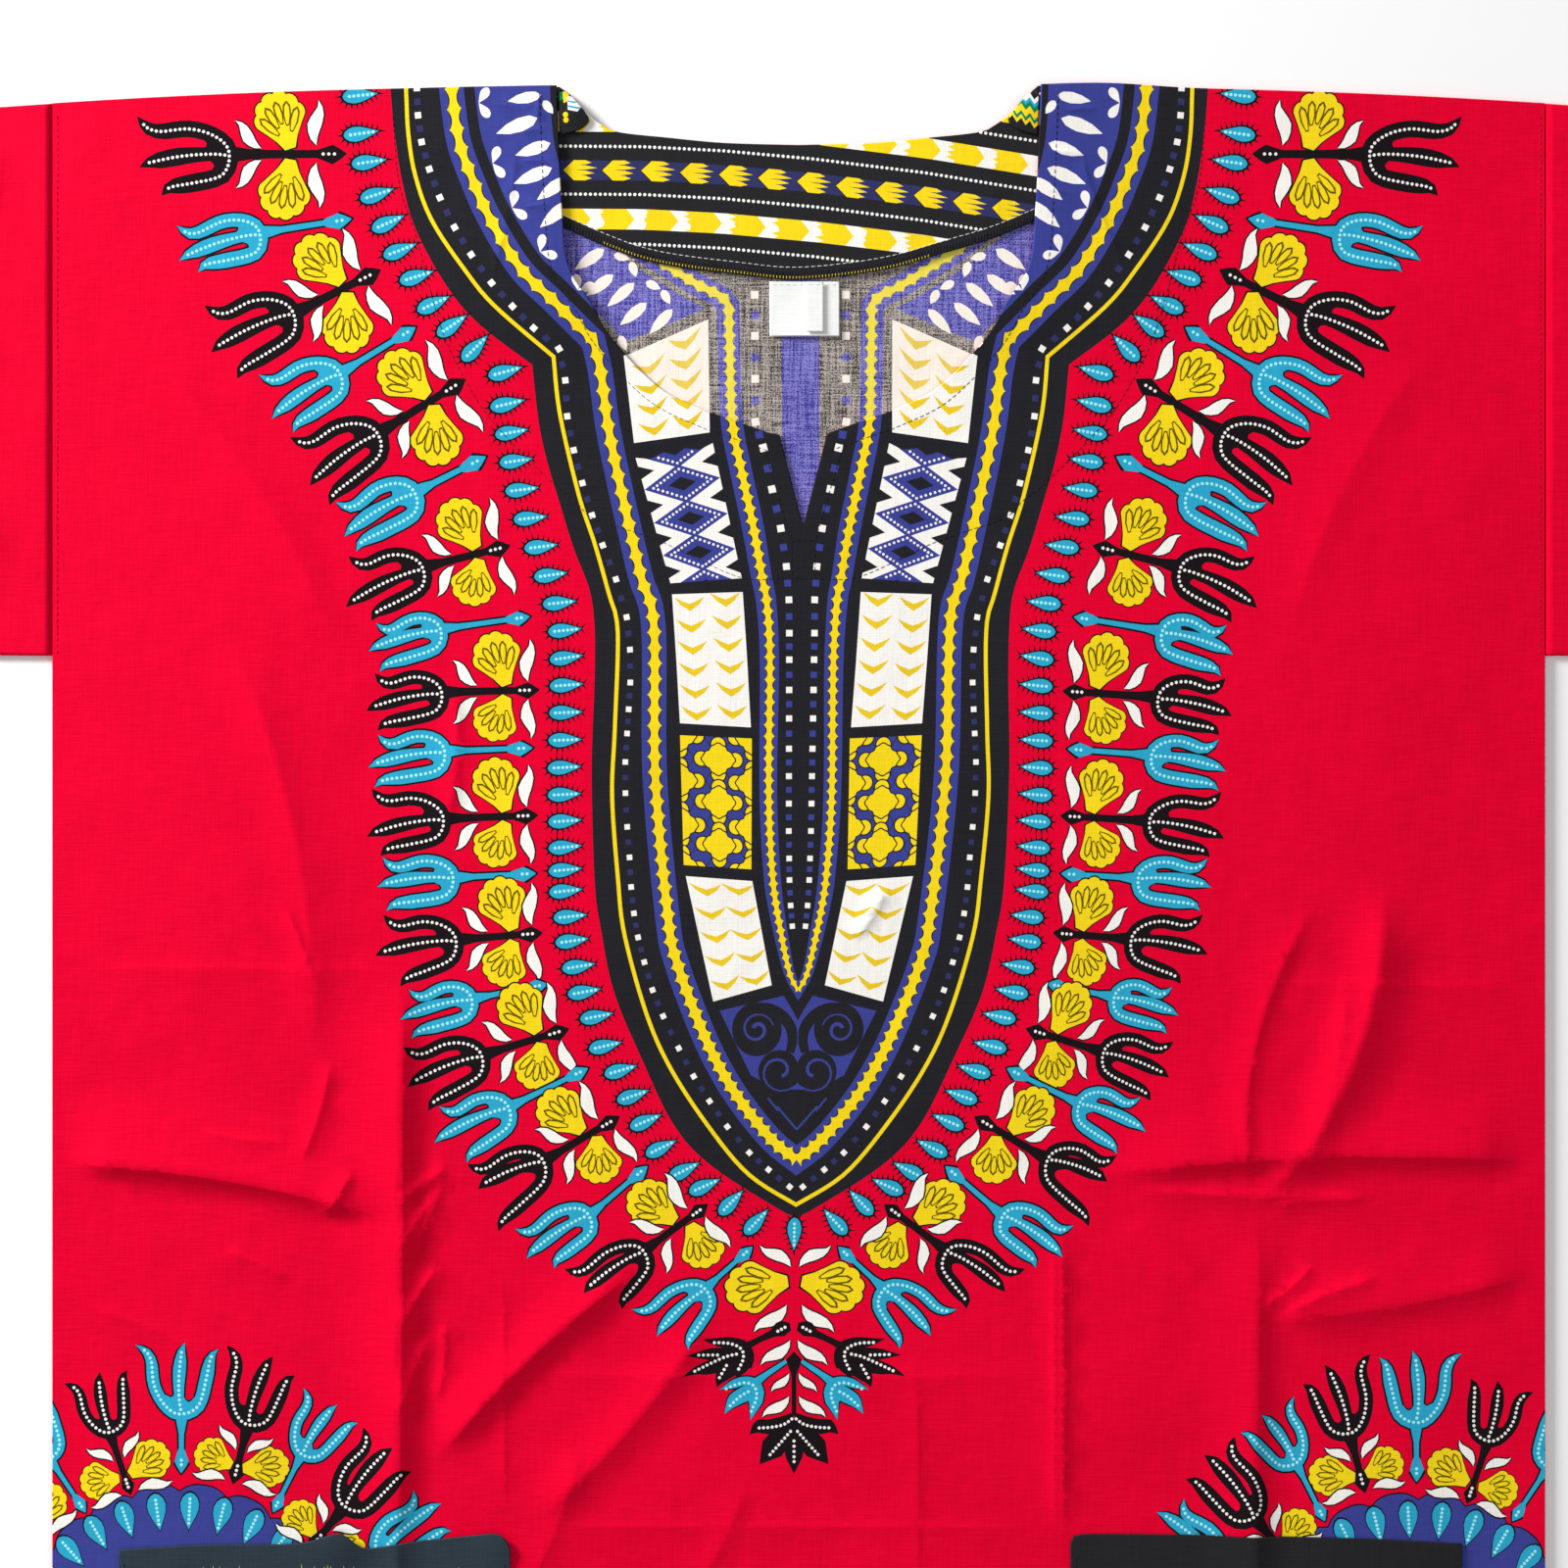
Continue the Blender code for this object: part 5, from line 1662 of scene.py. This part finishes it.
def ridden(piece, slot, *nodes):
    """Every piece rides on the one body and hides its solid; slot is not used."""
    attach(piece, "root")
    if nodes:
        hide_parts(*nodes)
    return piece


# ------------------------------------------------------------------- pieces
def make_front(kit):
    sheet = whole_print()
    outline = panel_outline(neck_front_line())
    materials = print_materials(kit) + wrong_side_materials()[:1]
    made = make_sheet(
        "front_cloth", outline, front_under, WALL, (sheet.shapes, RED),
        ((), len(INKS)), crest_spots(CREASES + FINE_CREASES, 0.0055), 0.011, 0.018,
        materials=materials,
        low_spots=crest_spots(CREASES + tuple(r for r in FINE_CREASES if r[5] > 0.75), 0.008),
    )
    ridden(made, "print", "front_panel")
    abs(area_of(outline))
    return made


def make_back(kit):
    inside, outside = Print(), whole_print(fine=False)
    neck_print(inside, lilac=True)
    outline = panel_outline(neck_back_line())
    materials = print_materials(kit) + wrong_side_materials()
    wrong = [(points, ink + len(INKS)) for points, ink in inside.shapes]
    made = make_sheet(
        "back_cloth", outline, level(0.0), WALL, (wrong, RED + len(INKS)),
        (outside.shapes, RED), step=0.010, materials=materials,
    )
    ridden(made, "print_inside", "back_panel")
    abs(area_of(outline))
    return made


def pocket_outline(side):
    """A pocket's outline, as x and y in m."""
    edge = curve(POCKETS[side], 4.0)
    bottom = POCKET_BOTTOM_D
    left, right = edge[0], edge[-1]
    line = np.vstack(
        [
            spaced([(left[0], bottom), (right[0], bottom)], 5.0)[:-1],
            spaced([(right[0], bottom), right], 5.0)[:-1],
            edge[::-1][:-1],
            spaced([left, (left[0], bottom)], 5.0)[:-1],
        ]
    )
    return plain_place(line)


def make_pockets(kit):
    for side in POCKETS:
        outline = pocket_outline(side)
        sheet = Print()
        hatch_row(sheet, 684.0 if side == "left" else 690.0, -330.0, 330.0)
        border_print(sheet, 706.0, 330.0, ((-340.0, 0.0), (340.0, 0.0)), (0, 1, 2))
        name = f"pocket_{side}_cloth"
        # The left pocket's ground is painted lighter, as painted light falling on it; the right
        # pocket keeps the plain border black of the same cloth
        ground = "pocket_black" if side == "left" else "border_black"
        edge_spots = [
            ((x, SHOULDER_Y - d * MM), 0.001)
            for x in np.arange(outline[:, 0].min(), outline[:, 0].max(), 0.003)
            for d in np.arange(POCKET_TOP_D / MM, POCKET_TOP_D / MM + 26.0, 3.0)
        ]
        made = make_sheet(
            name, outline, pocket_under, WALL, (sheet.shapes, BLACK),
            ((), BLACK), crest_spots(CREASES + FINE_CREASES) + edge_spots,
            materials=border_materials(kit, ground), place=plain_place,
        )
        ridden(made, "border_cloth", "pocket_" + side)
        abs(area_of(outline))


def hatch_row(sheet, d, left, right):
    """A row of short uneven yellow threads that stand on a line."""
    rng = np.random.default_rng(7)
    for x in np.arange(left, right, 1.5):
        tall = 1.6 + 5.0 * rng.random() ** 2.2
        if math.sin(x * 0.11) + math.sin(x * 0.047) < 0.1:
            tall *= 0.4
        spike = ((x - 0.4, d), (x, d - tall), (x + 0.4, d))
        sheet.fill(spike, OLIVE if tall < 2.5 else YELLOW, both=False)
    sheet.fill(((left, d), (right, d), (right, d + 1.0), (left, d + 1.0)), YELLOW, both=False)


def facing_under(x, y):
    """The facing lies flat but for soft ripples between its ends."""
    d = SHOULDER_Y - y
    calm = smooth((0.104 - np.abs(x)) / 0.030)
    wave = np.sin(x * 62.0 + np.sin(d * 50.0) * 1.4) * np.sin(x * 23.0 + 1.3)
    lower = smooth((d - 0.030) / 0.030)
    return WALL + GAP + 0.00028 * calm * (0.3 + 0.7 * lower) * (1 + wave)


def facing_outline():
    lower = curve(FACING_LOWER, 3.0) * MM
    reach = FACING_LOWER[-1][0] * MM
    corner = float(shoulder_depth(reach)) + 0.0006
    left_corner = float(shoulder_depth(-reach)) + 0.0006
    right = spaced([lower[-1], (reach, corner)], 0.004)[1:-1]
    top_right = [(reach, corner)]
    left = spaced([(-reach, left_corner), lower[0]], 0.004)[:-1]
    line = np.vstack([lower, right, top_right, neck_back_line(), left])
    return np.stack([line[:, 0], SHOULDER_Y - line[:, 1]], 1)


def make_facing(kit):
    sheet = Print()
    border_print(sheet, 16.0, 132.0, STRIPE_BEND, (-1, 0, 1), last=1)
    lower = curve(FACING_LOWER, 3.0)
    sheet.fill(np.vstack([lower + (0, 2.0), (lower - (0, 5.4))[::-1]]), BLACK, both=False)
    outline = facing_outline()
    made = make_sheet(
        "facing_cloth", outline, facing_under, WALL, (sheet.shapes, BLACK),
        ((), BLACK), step=0.004, materials=border_materials(kit), place=plain_place,
    )
    ridden(made, "border_cloth", "back_neck_facing")
    abs(area_of(outline))


def make_rolls(kit):
    for name, side in (("left", -1), ("right", 1)):
        inner = curve(ROLL_INNER, 1.4)
        edge = curve(NECK_FRONT, 1.4)
        edge = edge[(edge[:, 1] < ROLL_LOW_D) & (edge[:, 1] > 2.2)] - (0.6, 0)
        points = np.vstack([inner, edge[::-1]]) * (side, 1)
        outline = plain_place(points)
        centre = outline.mean(axis=0)
        reach = float(np.hypot(*(outline - centre).T).max())
        floor = 2 * (WALL + GAP)

        def under(x, y, centre=centre, reach=reach, floor=floor):
            away = np.hypot(x - centre[0], y - centre[1]) / reach
            return floor + ROLL_DOME * (1 - smooth(away))

        sheet = Print()
        roll_print(sheet, side)
        piece = f"facing_roll_{name}_cloth"
        made = make_sheet(
            piece, outline, under, WALL, (sheet.shapes, BLACK), ((), BLACK),
            step=0.0015, low_step=0.003, materials=border_materials(kit),
            place=plain_place,
        )
        ridden(made, "border_cloth", "facing_roll_" + name)
        abs(area_of(outline))


def roll_print(sheet, side):
    """The facing's own stripes, bent and crossed where its end rolls over."""
    if side < 0:
        patches = (
            (((112.6, 0.6), (107.4, 1.2), (106.8, 5.8), (112.6, 8.4)), GREEN),
            (((108.4, 2.2), (105.6, 2.6), (105.2, 7.0), (107.8, 8.2)), YELLOW),
            (((106.2, 5.0), (102.4, 5.2), (99.6, 9.6), (101.4, 12.2), (105.8, 11.4)), WHITE),
            (((106.0, 6.8), (102.0, 7.6), (102.2, 8.4), (106.0, 7.6)), TURQUOISE),
            (((105.8, 9.2), (100.2, 10.2), (100.6, 11.0), (105.8, 10.1)), TURQUOISE),
        )
        spots = ((106.9, 13.6), (106.7, 16.0), (110.6, 20.6))
    else:
        zigzag = ((1.0, WHITE), (3.2, TURQUOISE), (5.0, GREEN), (7.4, YELLOW),
                  (10.6, GREEN), (12.4, YELLOW), (14.2, BLACK))
        xs = np.arange(90.0, 114.1, 2.0)
        patches, spots = [], ()
        for top, ink in zigzag:
            upper = [(x, top + (1.3 if k % 2 else -1.3) + 0.35 * (x - 96.0))
                     for k, x in enumerate(xs)]
            patches.append((upper + [(114.0, 30.0), (90.0, 30.0)], ink))
    for points, ink in patches:
        sheet.fill(np.array(points) * (side, 1), ink, both=False)
    for x, d in spots:
        sheet.dots((side * x, d), 1.3, YELLOW, both=False, sides=8)


def make_labels():
    """A blank label, and a narrow blank tab sewn on it."""
    rows = (
        ("care_tab_tape", TAB_X, TAB_D, WALL + 2 * GAP + LABEL_WALL, "care_tab"),
        ("size_label_tape", LABEL_X, LABEL_D, WALL + GAP, "size_label"),
    )
    for name, (x0, x1), (d0, d1), floor, node in rows:
        corners = [(x0, d1), (x1, d1), (x1, d0), (x0, d0)]
        line = np.vstack(
            [spaced([a, b], 2.0)[:-1] for a, b in zip(corners, corners[1:] + corners[:1])]
        )
        outline = plain_place(line)

        def under(x, y, floor=floor):
            t = np.clip(((SHOULDER_Y - y) / MM - LABEL_D[0]) / 26.0, 0, 1)
            return floor + 0.0011 * t**2 * (0.75 + 0.25 * np.sin(x * 180.0 + 0.6))

        made = make_sheet(
            name, outline, under, LABEL_WALL * 0.7, ((), 0), ((), 0),
            step=0.0022, low_step=0.004, materials=[tape_material()],
            place=plain_place,
        )
        ridden(made, "label", node)


def fold_rows(low, top, fold):
    """Places across a sleeve, close together near its two folded edges."""
    near = np.array((0.0, 0.001, 0.0025, 0.005, 0.009))
    first, last = low + fold, top - fold
    middle = np.linspace(first + 0.014, last - 0.014, 40)
    return np.concatenate([first + near, middle, last - near[::-1]])


def sleeve_ring(x, low, top, floor, ceiling, hem):
    """One loop round a flattened sleeve: under it, then back over it."""
    fold = (ceiling - floor) / 2
    ys = fold_rows(low, top, fold)
    rise = sleeve_rise(np.full(len(ys), x), ys)
    rise = rise * smooth((ys - low) / 0.016) * smooth((top - ys) / 0.016) + hem
    turn = np.linspace(-math.pi / 2, math.pi / 2, 7)[1:-1]
    lower = [(x, y, floor) for y in ys]
    over = [(x, top - fold + fold * math.cos(a), floor + fold + fold * math.sin(a)) for a in turn]
    upper = [(x, y, ceiling + h) for y, h in zip(ys[::-1], rise[::-1])]
    back = [(x, low + fold - fold * math.cos(a), floor + fold - fold * math.sin(a)) for a in turn]
    return lower + over + upper + back


def make_sleeves(kit):
    for name, side in (("left", -1), ("right", 1)):
        hem_start = END - 0.022
        xs = np.unique(np.concatenate(
            [np.linspace(SIDE + GAP, END - EDGE, 66),
             hem_start + np.array((-0.0012, -0.0004, 0.0004, 0.0012))]
        ))
        outer, inner = [], []
        for x in xs:
            low, top = sleeve_span(x, side)
            hem = HEM_RISE * float(smooth((x - hem_start + 0.0012) / 0.0024))
            outer.append(sleeve_ring(side * x, low, top, 0.0, 2 * WALL + GAP, hem))
            inner.append(sleeve_ring(side * x, low + WALL, top - WALL, WALL, WALL + GAP, 0.0))
        for end, at in ((0, SIDE + GAP), (-1, END)):
            rounded = (np.array(outer[end]) + np.array(inner[end])) / 2
            rounded[:, 0] = side * at
            (outer.insert(0, rounded) if end == 0 else outer.append(rounded))
        around = len(outer[0])
        loops = [np.array(r) for r in outer] + [np.array(r) for r in inner[::-1]]
        verts = np.vstack(loops)
        faces = []
        for k in range(len(loops)):
            a, b = k * around, ((k + 1) % len(loops)) * around
            for i in range(around):
                j = (i + 1) % around
                face = (a + i, a + j, b + j, b + i)
                faces.append(face if side < 0 else face[::-1])
        red = print_materials(kit)[RED]
        made = mesh_object(f"sleeve_{name}_cloth", verts, faces, [red])
        ridden(made, "red_cloth", "sleeve_" + name)


# ----------------------------------------------------------------- stitching
def thread(name, runs, field, colour, slot, radius=0.16, long=2.3, gap=0.6):
    """Stitches along lines, each a short raised piece of thread with blunt ends."""
    turn = np.linspace(0, 2 * math.pi, 5, endpoint=False)
    shares = np.array((0.0, 0.18, 0.82, 1.0))
    wide = np.array((0.15, 0.9, 0.9, 0.15)) * radius * MM
    lift = np.array((-0.5, 0.5, 0.5, -0.5)) * radius * MM
    pieces = []
    for run in runs:
        run = np.asarray(run, float)
        lengths = np.append(0.0, np.cumsum(np.hypot(*np.diff(run, axis=0).T)))
        count = max(1, int(lengths[-1] / (long + gap)))
        pitch = lengths[-1] / count
        starts = np.arange(count) * pitch
        ends = starts + pitch * long / (long + gap)
        a, b = (
            plain_place(np.stack([np.interp(s, lengths, run[:, k]) for k in (0, 1)], 1))
            for s in (starts, ends)
        )
        spots = a[:, None] + (b - a)[:, None] * shares[:, None]
        along = (b - a) / np.hypot(*(b - a).T)[:, None]
        side = np.stack([-along[:, 1], along[:, 0]], 1)
        height = field(spots[..., 0], spots[..., 1]) + lift
        spread = (np.cos(turn)[None, :] * wide[:, None])[None, :, :, None]
        flat = spots[:, :, None] + side[:, None, None] * spread
        z = height[:, :, None] + np.sin(turn) * wide[:, None]
        pieces.append(np.concatenate([flat, z[..., None]], axis=3).reshape(-1, 3))
    verts = np.vstack(pieces)
    ring = [
        (5 * r + i, 5 * r + (i + 1) % 5, 5 * r + 5 + (i + 1) % 5, 5 * r + 5 + i)
        for r in range(3) for i in range(5)
    ]
    ring += [(4, 3, 2, 1, 0), (15, 16, 17, 18, 19)]
    faces = [tuple(first + i for i in face) for first in range(0, len(verts), 20) for face in ring]
    cotton = cloth("thread_" + colour[0], *colour[1:], (1.6, 1.6, 0.8, 0.3))
    ridden(mesh_object(name, verts, faces, [cotton]), slot)


def mirrored(rows):
    """A line from the right side run on to the left, about the centre."""
    rows = np.asarray(rows, float)
    return np.vstack([rows, rows[::-1] * (-1, 1)])


def make_stitching():
    dark = ("dark", srgb(20, 18, 22), srgb(58, 52, 60))
    red = ("red", srgb(168, 0, 30), srgb(236, 26, 62))
    pale = ("pale", srgb(196, 196, 190), srgb(246, 246, 238))
    yellow = ("yellow", srgb(206, 176, 24), srgb(250, 222, 60))
    hem = (SHOULDER_Y + LENGTH / 2) / MM - HEM_STITCH_UP
    side = SIDE / MM
    slit = SLIT_X / MM
    neck = beside(curve(NECK_FRONT, 3.0), 8.0)
    neck = neck[neck[:, 1] > 2.0]
    box = [(5.4, 208.6), (5.4, 226.0), (-5.4, 226.0), (-5.4, 208.6), (5.4, 208.6)]
    slit_lines = [
        [(slit + s * 17.4, 168.0), (slit + s * 5.4, 208.6)] for s in (1, -1)
    ]
    dark_runs = [mirrored(curve(FACING_STITCHES, 3.0)), neck, neck * (-1, 1)]
    dark_runs += slit_lines + [np.array(box) + (slit, 0)]
    thread("neck_stitching", dark_runs, front_top, dark, "print")
    low = ARMHOLE / MM + float(shoulder_depth(SIDE)) / MM
    arm = [[(s * (side - 2.5), 13.0), (s * (side - 2.5), low)] for s in (1, -1)]
    hem_line = [[(-side + 3.0, hem), (side - 3.0, hem)]]
    thread("seam_stitching", arm + hem_line, front_top, red, "print")
    for name, outer in (("left", -1), ("right", 1)):
        edge = np.array(POCKETS[name])
        x0, x1 = edge[0, 0] + 2.6, edge[-1, 0] - 2.6
        runs = [[(x, edge[0, 1] + 6.0), (x, POCKET_BOTTOM_D - 2.6)] for x in (x0, x1)]
        runs.append([(x0, POCKET_BOTTOM_D - 2.6), (x1, POCKET_BOTTOM_D - 2.6)])
        thread(f"pocket_{name}_stitching", runs, pocket_top, dark, "border_cloth")
        at = END - CUFF_STITCH_IN * MM
        span = sleeve_span(at, outer)
        ends = [(outer * at / MM, (SHOULDER_Y - y) / MM + s * 3.0)
                for y, s in zip(span, (-1, 1))]
        thread(f"sleeve_{name}_stitching", [ends], cuff_top, red, "red_cloth")
    lower = curve(FACING_LOWER, 1.5)[2:-2]
    loops = [[(x, d - 0.4), (x + 0.5, d - 4.8)] for x, d in lower]
    thread("facing_overlock", loops, facing_top, dark, "border_cloth", 0.22)
    bright = [[(x + 0.7, d - 0.3), (x + 0.7, d - 2.0)] for x, d in lower if -91 < x < 60]
    thread("facing_loops", bright, facing_top, yellow, "border_cloth", 0.20)
    thread("facing_stitching", [lower - (0, 5.6)], facing_top, pale, "border_cloth", 0.2)
    x0, x1 = LABEL_X
    top = LABEL_D[0] + 1.6
    ends = ((x0 + 1.0, TAB_X[0] - 0.6), (TAB_X[0] + 0.6, TAB_X[1] - 0.6),
            (TAB_X[1] + 0.6, x1 - 1.0))
    runs = [[(a, top), (b, top)] for a, b in ends]
    thread("label_stitching", runs, label_top, pale, "label", 0.14)


# -------------------------------------------------------------------- stage
def make_stage(kit):
    scene = bpy.context.scene
    scene.view_settings.view_transform = "Standard"
    mesh = bpy.data.meshes.new("floor")
    reach = 6.0
    mesh.from_pydata(
        [(-reach, -reach, -GAP), (reach, -reach, -GAP), (reach, reach, -GAP),
         (-reach, reach, -GAP)], [], [(0, 1, 2, 3)],
    )
    floor = bpy.data.objects.new("floor", mesh)
    scene.collection.objects.link(floor)
    material = bpy.data.materials.new("floor_paper")
    material.use_nodes = True
    tree = material.node_tree
    shader = tree.nodes["Principled BSDF"]
    coords = tree.nodes.new("ShaderNodeTexCoord").outputs["Object"]
    grain = noise(tree, coords, (9.0, 9.0, 9.0), 4.0)
    tint = add_node(
        tree, "ShaderNodeMix",
        {0: grain, 6: (0.95, 0.95, 0.95, 1), 7: (0.97, 0.97, 0.97, 1)},
        data_type="RGBA",
    )
    tree.links.new(tint.outputs[2], shader.inputs["Base Color"])
    shader.inputs["Roughness"].default_value = 0.9
    mesh.materials.append(material)

    world = bpy.data.worlds.new("studio")
    world.use_nodes = True
    sky = world.node_tree.nodes["Background"]
    sky.inputs["Color"].default_value = (1.0, 1.0, 1.0, 1.0)
    sky.inputs["Strength"].default_value = kit.fill_light
    scene.world = world
    for name, spot, size, power in (
        ("key", (-2.2, 1.55, 1.0), 0.8, kit.key_light),
        ("soft", (0.9, -0.6, 2.4), 2.6, kit.key_light * 0.12),
    ):
        lamp = bpy.data.lights.new(name, "AREA")
        lamp.size, lamp.energy = size, power
        light = bpy.data.objects.new(name, lamp)
        light.location = spot
        aim = Vector((0, 0.08, 0)) - Vector(spot)
        light.rotation_euler = aim.to_track_quat("-Z", "Y").to_euler()
        scene.collection.objects.link(light)

    camera = bpy.data.cameras.new("camera")
    camera.lens, camera.sensor_width = 60.0, 36.0
    view = bpy.data.objects.new("camera", camera)
    away = FRAME_WIDTH * camera.lens / camera.sensor_width
    view.location = (CAMERA_X, SHOULDER_Y - CAMERA_D, away + CAMERA_AIM_Z)
    scene.collection.objects.link(view)
    scene.camera = view


class SHIRT_PG_kit(bpy.types.PropertyGroup):
    """Colours and lights that a user may change."""

    def colour(name, value, about):
        return FloatVectorProperty(
            name=name, description=about, default=value, size=4,
            subtype="COLOR", min=0.0, max=1.0,
        )

    red: colour("Red", srgb(226, 0, 44), "Ground of the print")
    black: colour("Black", srgb(34, 34, 38), "Bands and gaps between panels")
    turquoise: colour("Turquoise", srgb(46, 164, 200), "Drops and forks")
    navy: colour("Navy", srgb(50, 52, 98), "Dim squares and lines")
    ice: colour("Ice", srgb(168, 240, 246), "Dots on turquoise")
    gold: colour("Gold", srgb(232, 198, 40), "Chevrons")
    blue: colour("Blue", srgb(60, 66, 144), "Shoulders and ribbon margins")
    yellow: colour("Yellow", srgb(249, 213, 30), "Ribbons and fan flowers")
    white: colour("White", srgb(246, 242, 236), "Panels, leaves and dots")
    green: colour("Green", srgb(20, 128, 84), "Zigzags of the rolled facing")
    border_black: colour("Border black", srgb(38, 38, 41), "Ground of the border cloth")
    # The left pocket's black, painted lighter as if lit (painted light); the right pocket uses
    # border black
    pocket_black: colour("Pocket black", srgb(47, 57, 66), "Ground of the pockets")
    jet: colour("Jet", srgb(27, 20, 24), "Forks, sprigs and outlines")
    olive: colour("Olive", srgb(100, 84, 8), "Veins of the fan flowers")
    fill_light: FloatProperty(
        name="Fill light", description="Even light from all round", default=0.33, min=0,
    )
    key_light: FloatProperty(
        name="Key light", description="Power of the main lamp", default=128.0, min=0,
        unit="POWER",
    )


class SHIRT_OT_front(bpy.types.Operator):
    """Makes the printed front"""

    bl_idname, bl_label = "shirt.front", "Front"

    def execute(self, context):
        make_front(context.scene.shirt_kit)
        return {"FINISHED"}


class SHIRT_OT_back(bpy.types.Operator):
    """Makes the printed back"""

    bl_idname, bl_label = "shirt.back", "Back"

    def execute(self, context):
        make_back(context.scene.shirt_kit)
        return {"FINISHED"}


class SHIRT_OT_pockets(bpy.types.Operator):
    """Makes both pockets"""

    bl_idname, bl_label = "shirt.pockets", "Pockets"

    def execute(self, context):
        make_pockets(context.scene.shirt_kit)
        return {"FINISHED"}


class SHIRT_OT_facing(bpy.types.Operator):
    """Makes the striped neck facing"""

    bl_idname, bl_label = "shirt.facing", "Facing"

    def execute(self, context):
        make_facing(context.scene.shirt_kit)
        return {"FINISHED"}


class SHIRT_OT_rolls(bpy.types.Operator):
    """Makes the rolled ends of the facing"""

    bl_idname, bl_label = "shirt.rolls", "Facing ends"

    def execute(self, context):
        make_rolls(context.scene.shirt_kit)
        return {"FINISHED"}


class SHIRT_OT_labels(bpy.types.Operator):
    """Makes the blank label and its tab"""

    bl_idname, bl_label = "shirt.labels", "Labels"

    def execute(self, context):
        make_labels()
        return {"FINISHED"}


class SHIRT_OT_sleeves(bpy.types.Operator):
    """Makes both sleeves"""

    bl_idname, bl_label = "shirt.sleeves", "Sleeves"

    def execute(self, context):
        make_sleeves(context.scene.shirt_kit)
        return {"FINISHED"}


class SHIRT_OT_stitching(bpy.types.Operator):
    """Makes the seams' stitches and the facing's overlocked edge"""

    bl_idname, bl_label = "shirt.stitching", "Stitching"

    def execute(self, context):
        make_stitching()
        return {"FINISHED"}


class SHIRT_OT_stage(bpy.types.Operator):
    """Makes the floor, lights and camera"""

    bl_idname, bl_label = "shirt.stage", "Stage"

    def execute(self, context):
        make_stage(context.scene.shirt_kit)
        return {"FINISHED"}


OPERATORS = (
    SHIRT_OT_stage, SHIRT_OT_back, SHIRT_OT_facing, SHIRT_OT_rolls, SHIRT_OT_labels,
    SHIRT_OT_front, SHIRT_OT_pockets, SHIRT_OT_sleeves, SHIRT_OT_stitching,
)


class SHIRT_PT_panel(bpy.types.Panel):
    """Lists the shirt's pieces"""

    bl_label, bl_idname = "Shirt", "SHIRT_PT_panel"
    bl_space_type, bl_region_type, bl_category = "VIEW_3D", "UI", "Shirt"

    def draw(self, context):
        for name in SHIRT_PG_kit.__annotations__:
            self.layout.prop(context.scene.shirt_kit, name)
        for operator in OPERATORS:
            self.layout.operator(operator.bl_idname)


CLASSES = (SHIRT_PG_kit, *OPERATORS, SHIRT_PT_panel)


def register():
    for cls in CLASSES:
        bpy.utils.register_class(cls)
    bpy.types.Scene.shirt_kit = PointerProperty(type=SHIRT_PG_kit)


def unregister():
    del bpy.types.Scene.shirt_kit
    for cls in reversed(CLASSES):
        bpy.utils.unregister_class(cls)


def main():
    register()
    for operator in OPERATORS:
        getattr(bpy.ops.shirt, operator.bl_idname.split(".")[1])()
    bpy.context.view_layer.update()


if __name__ == "__main__":
    main()
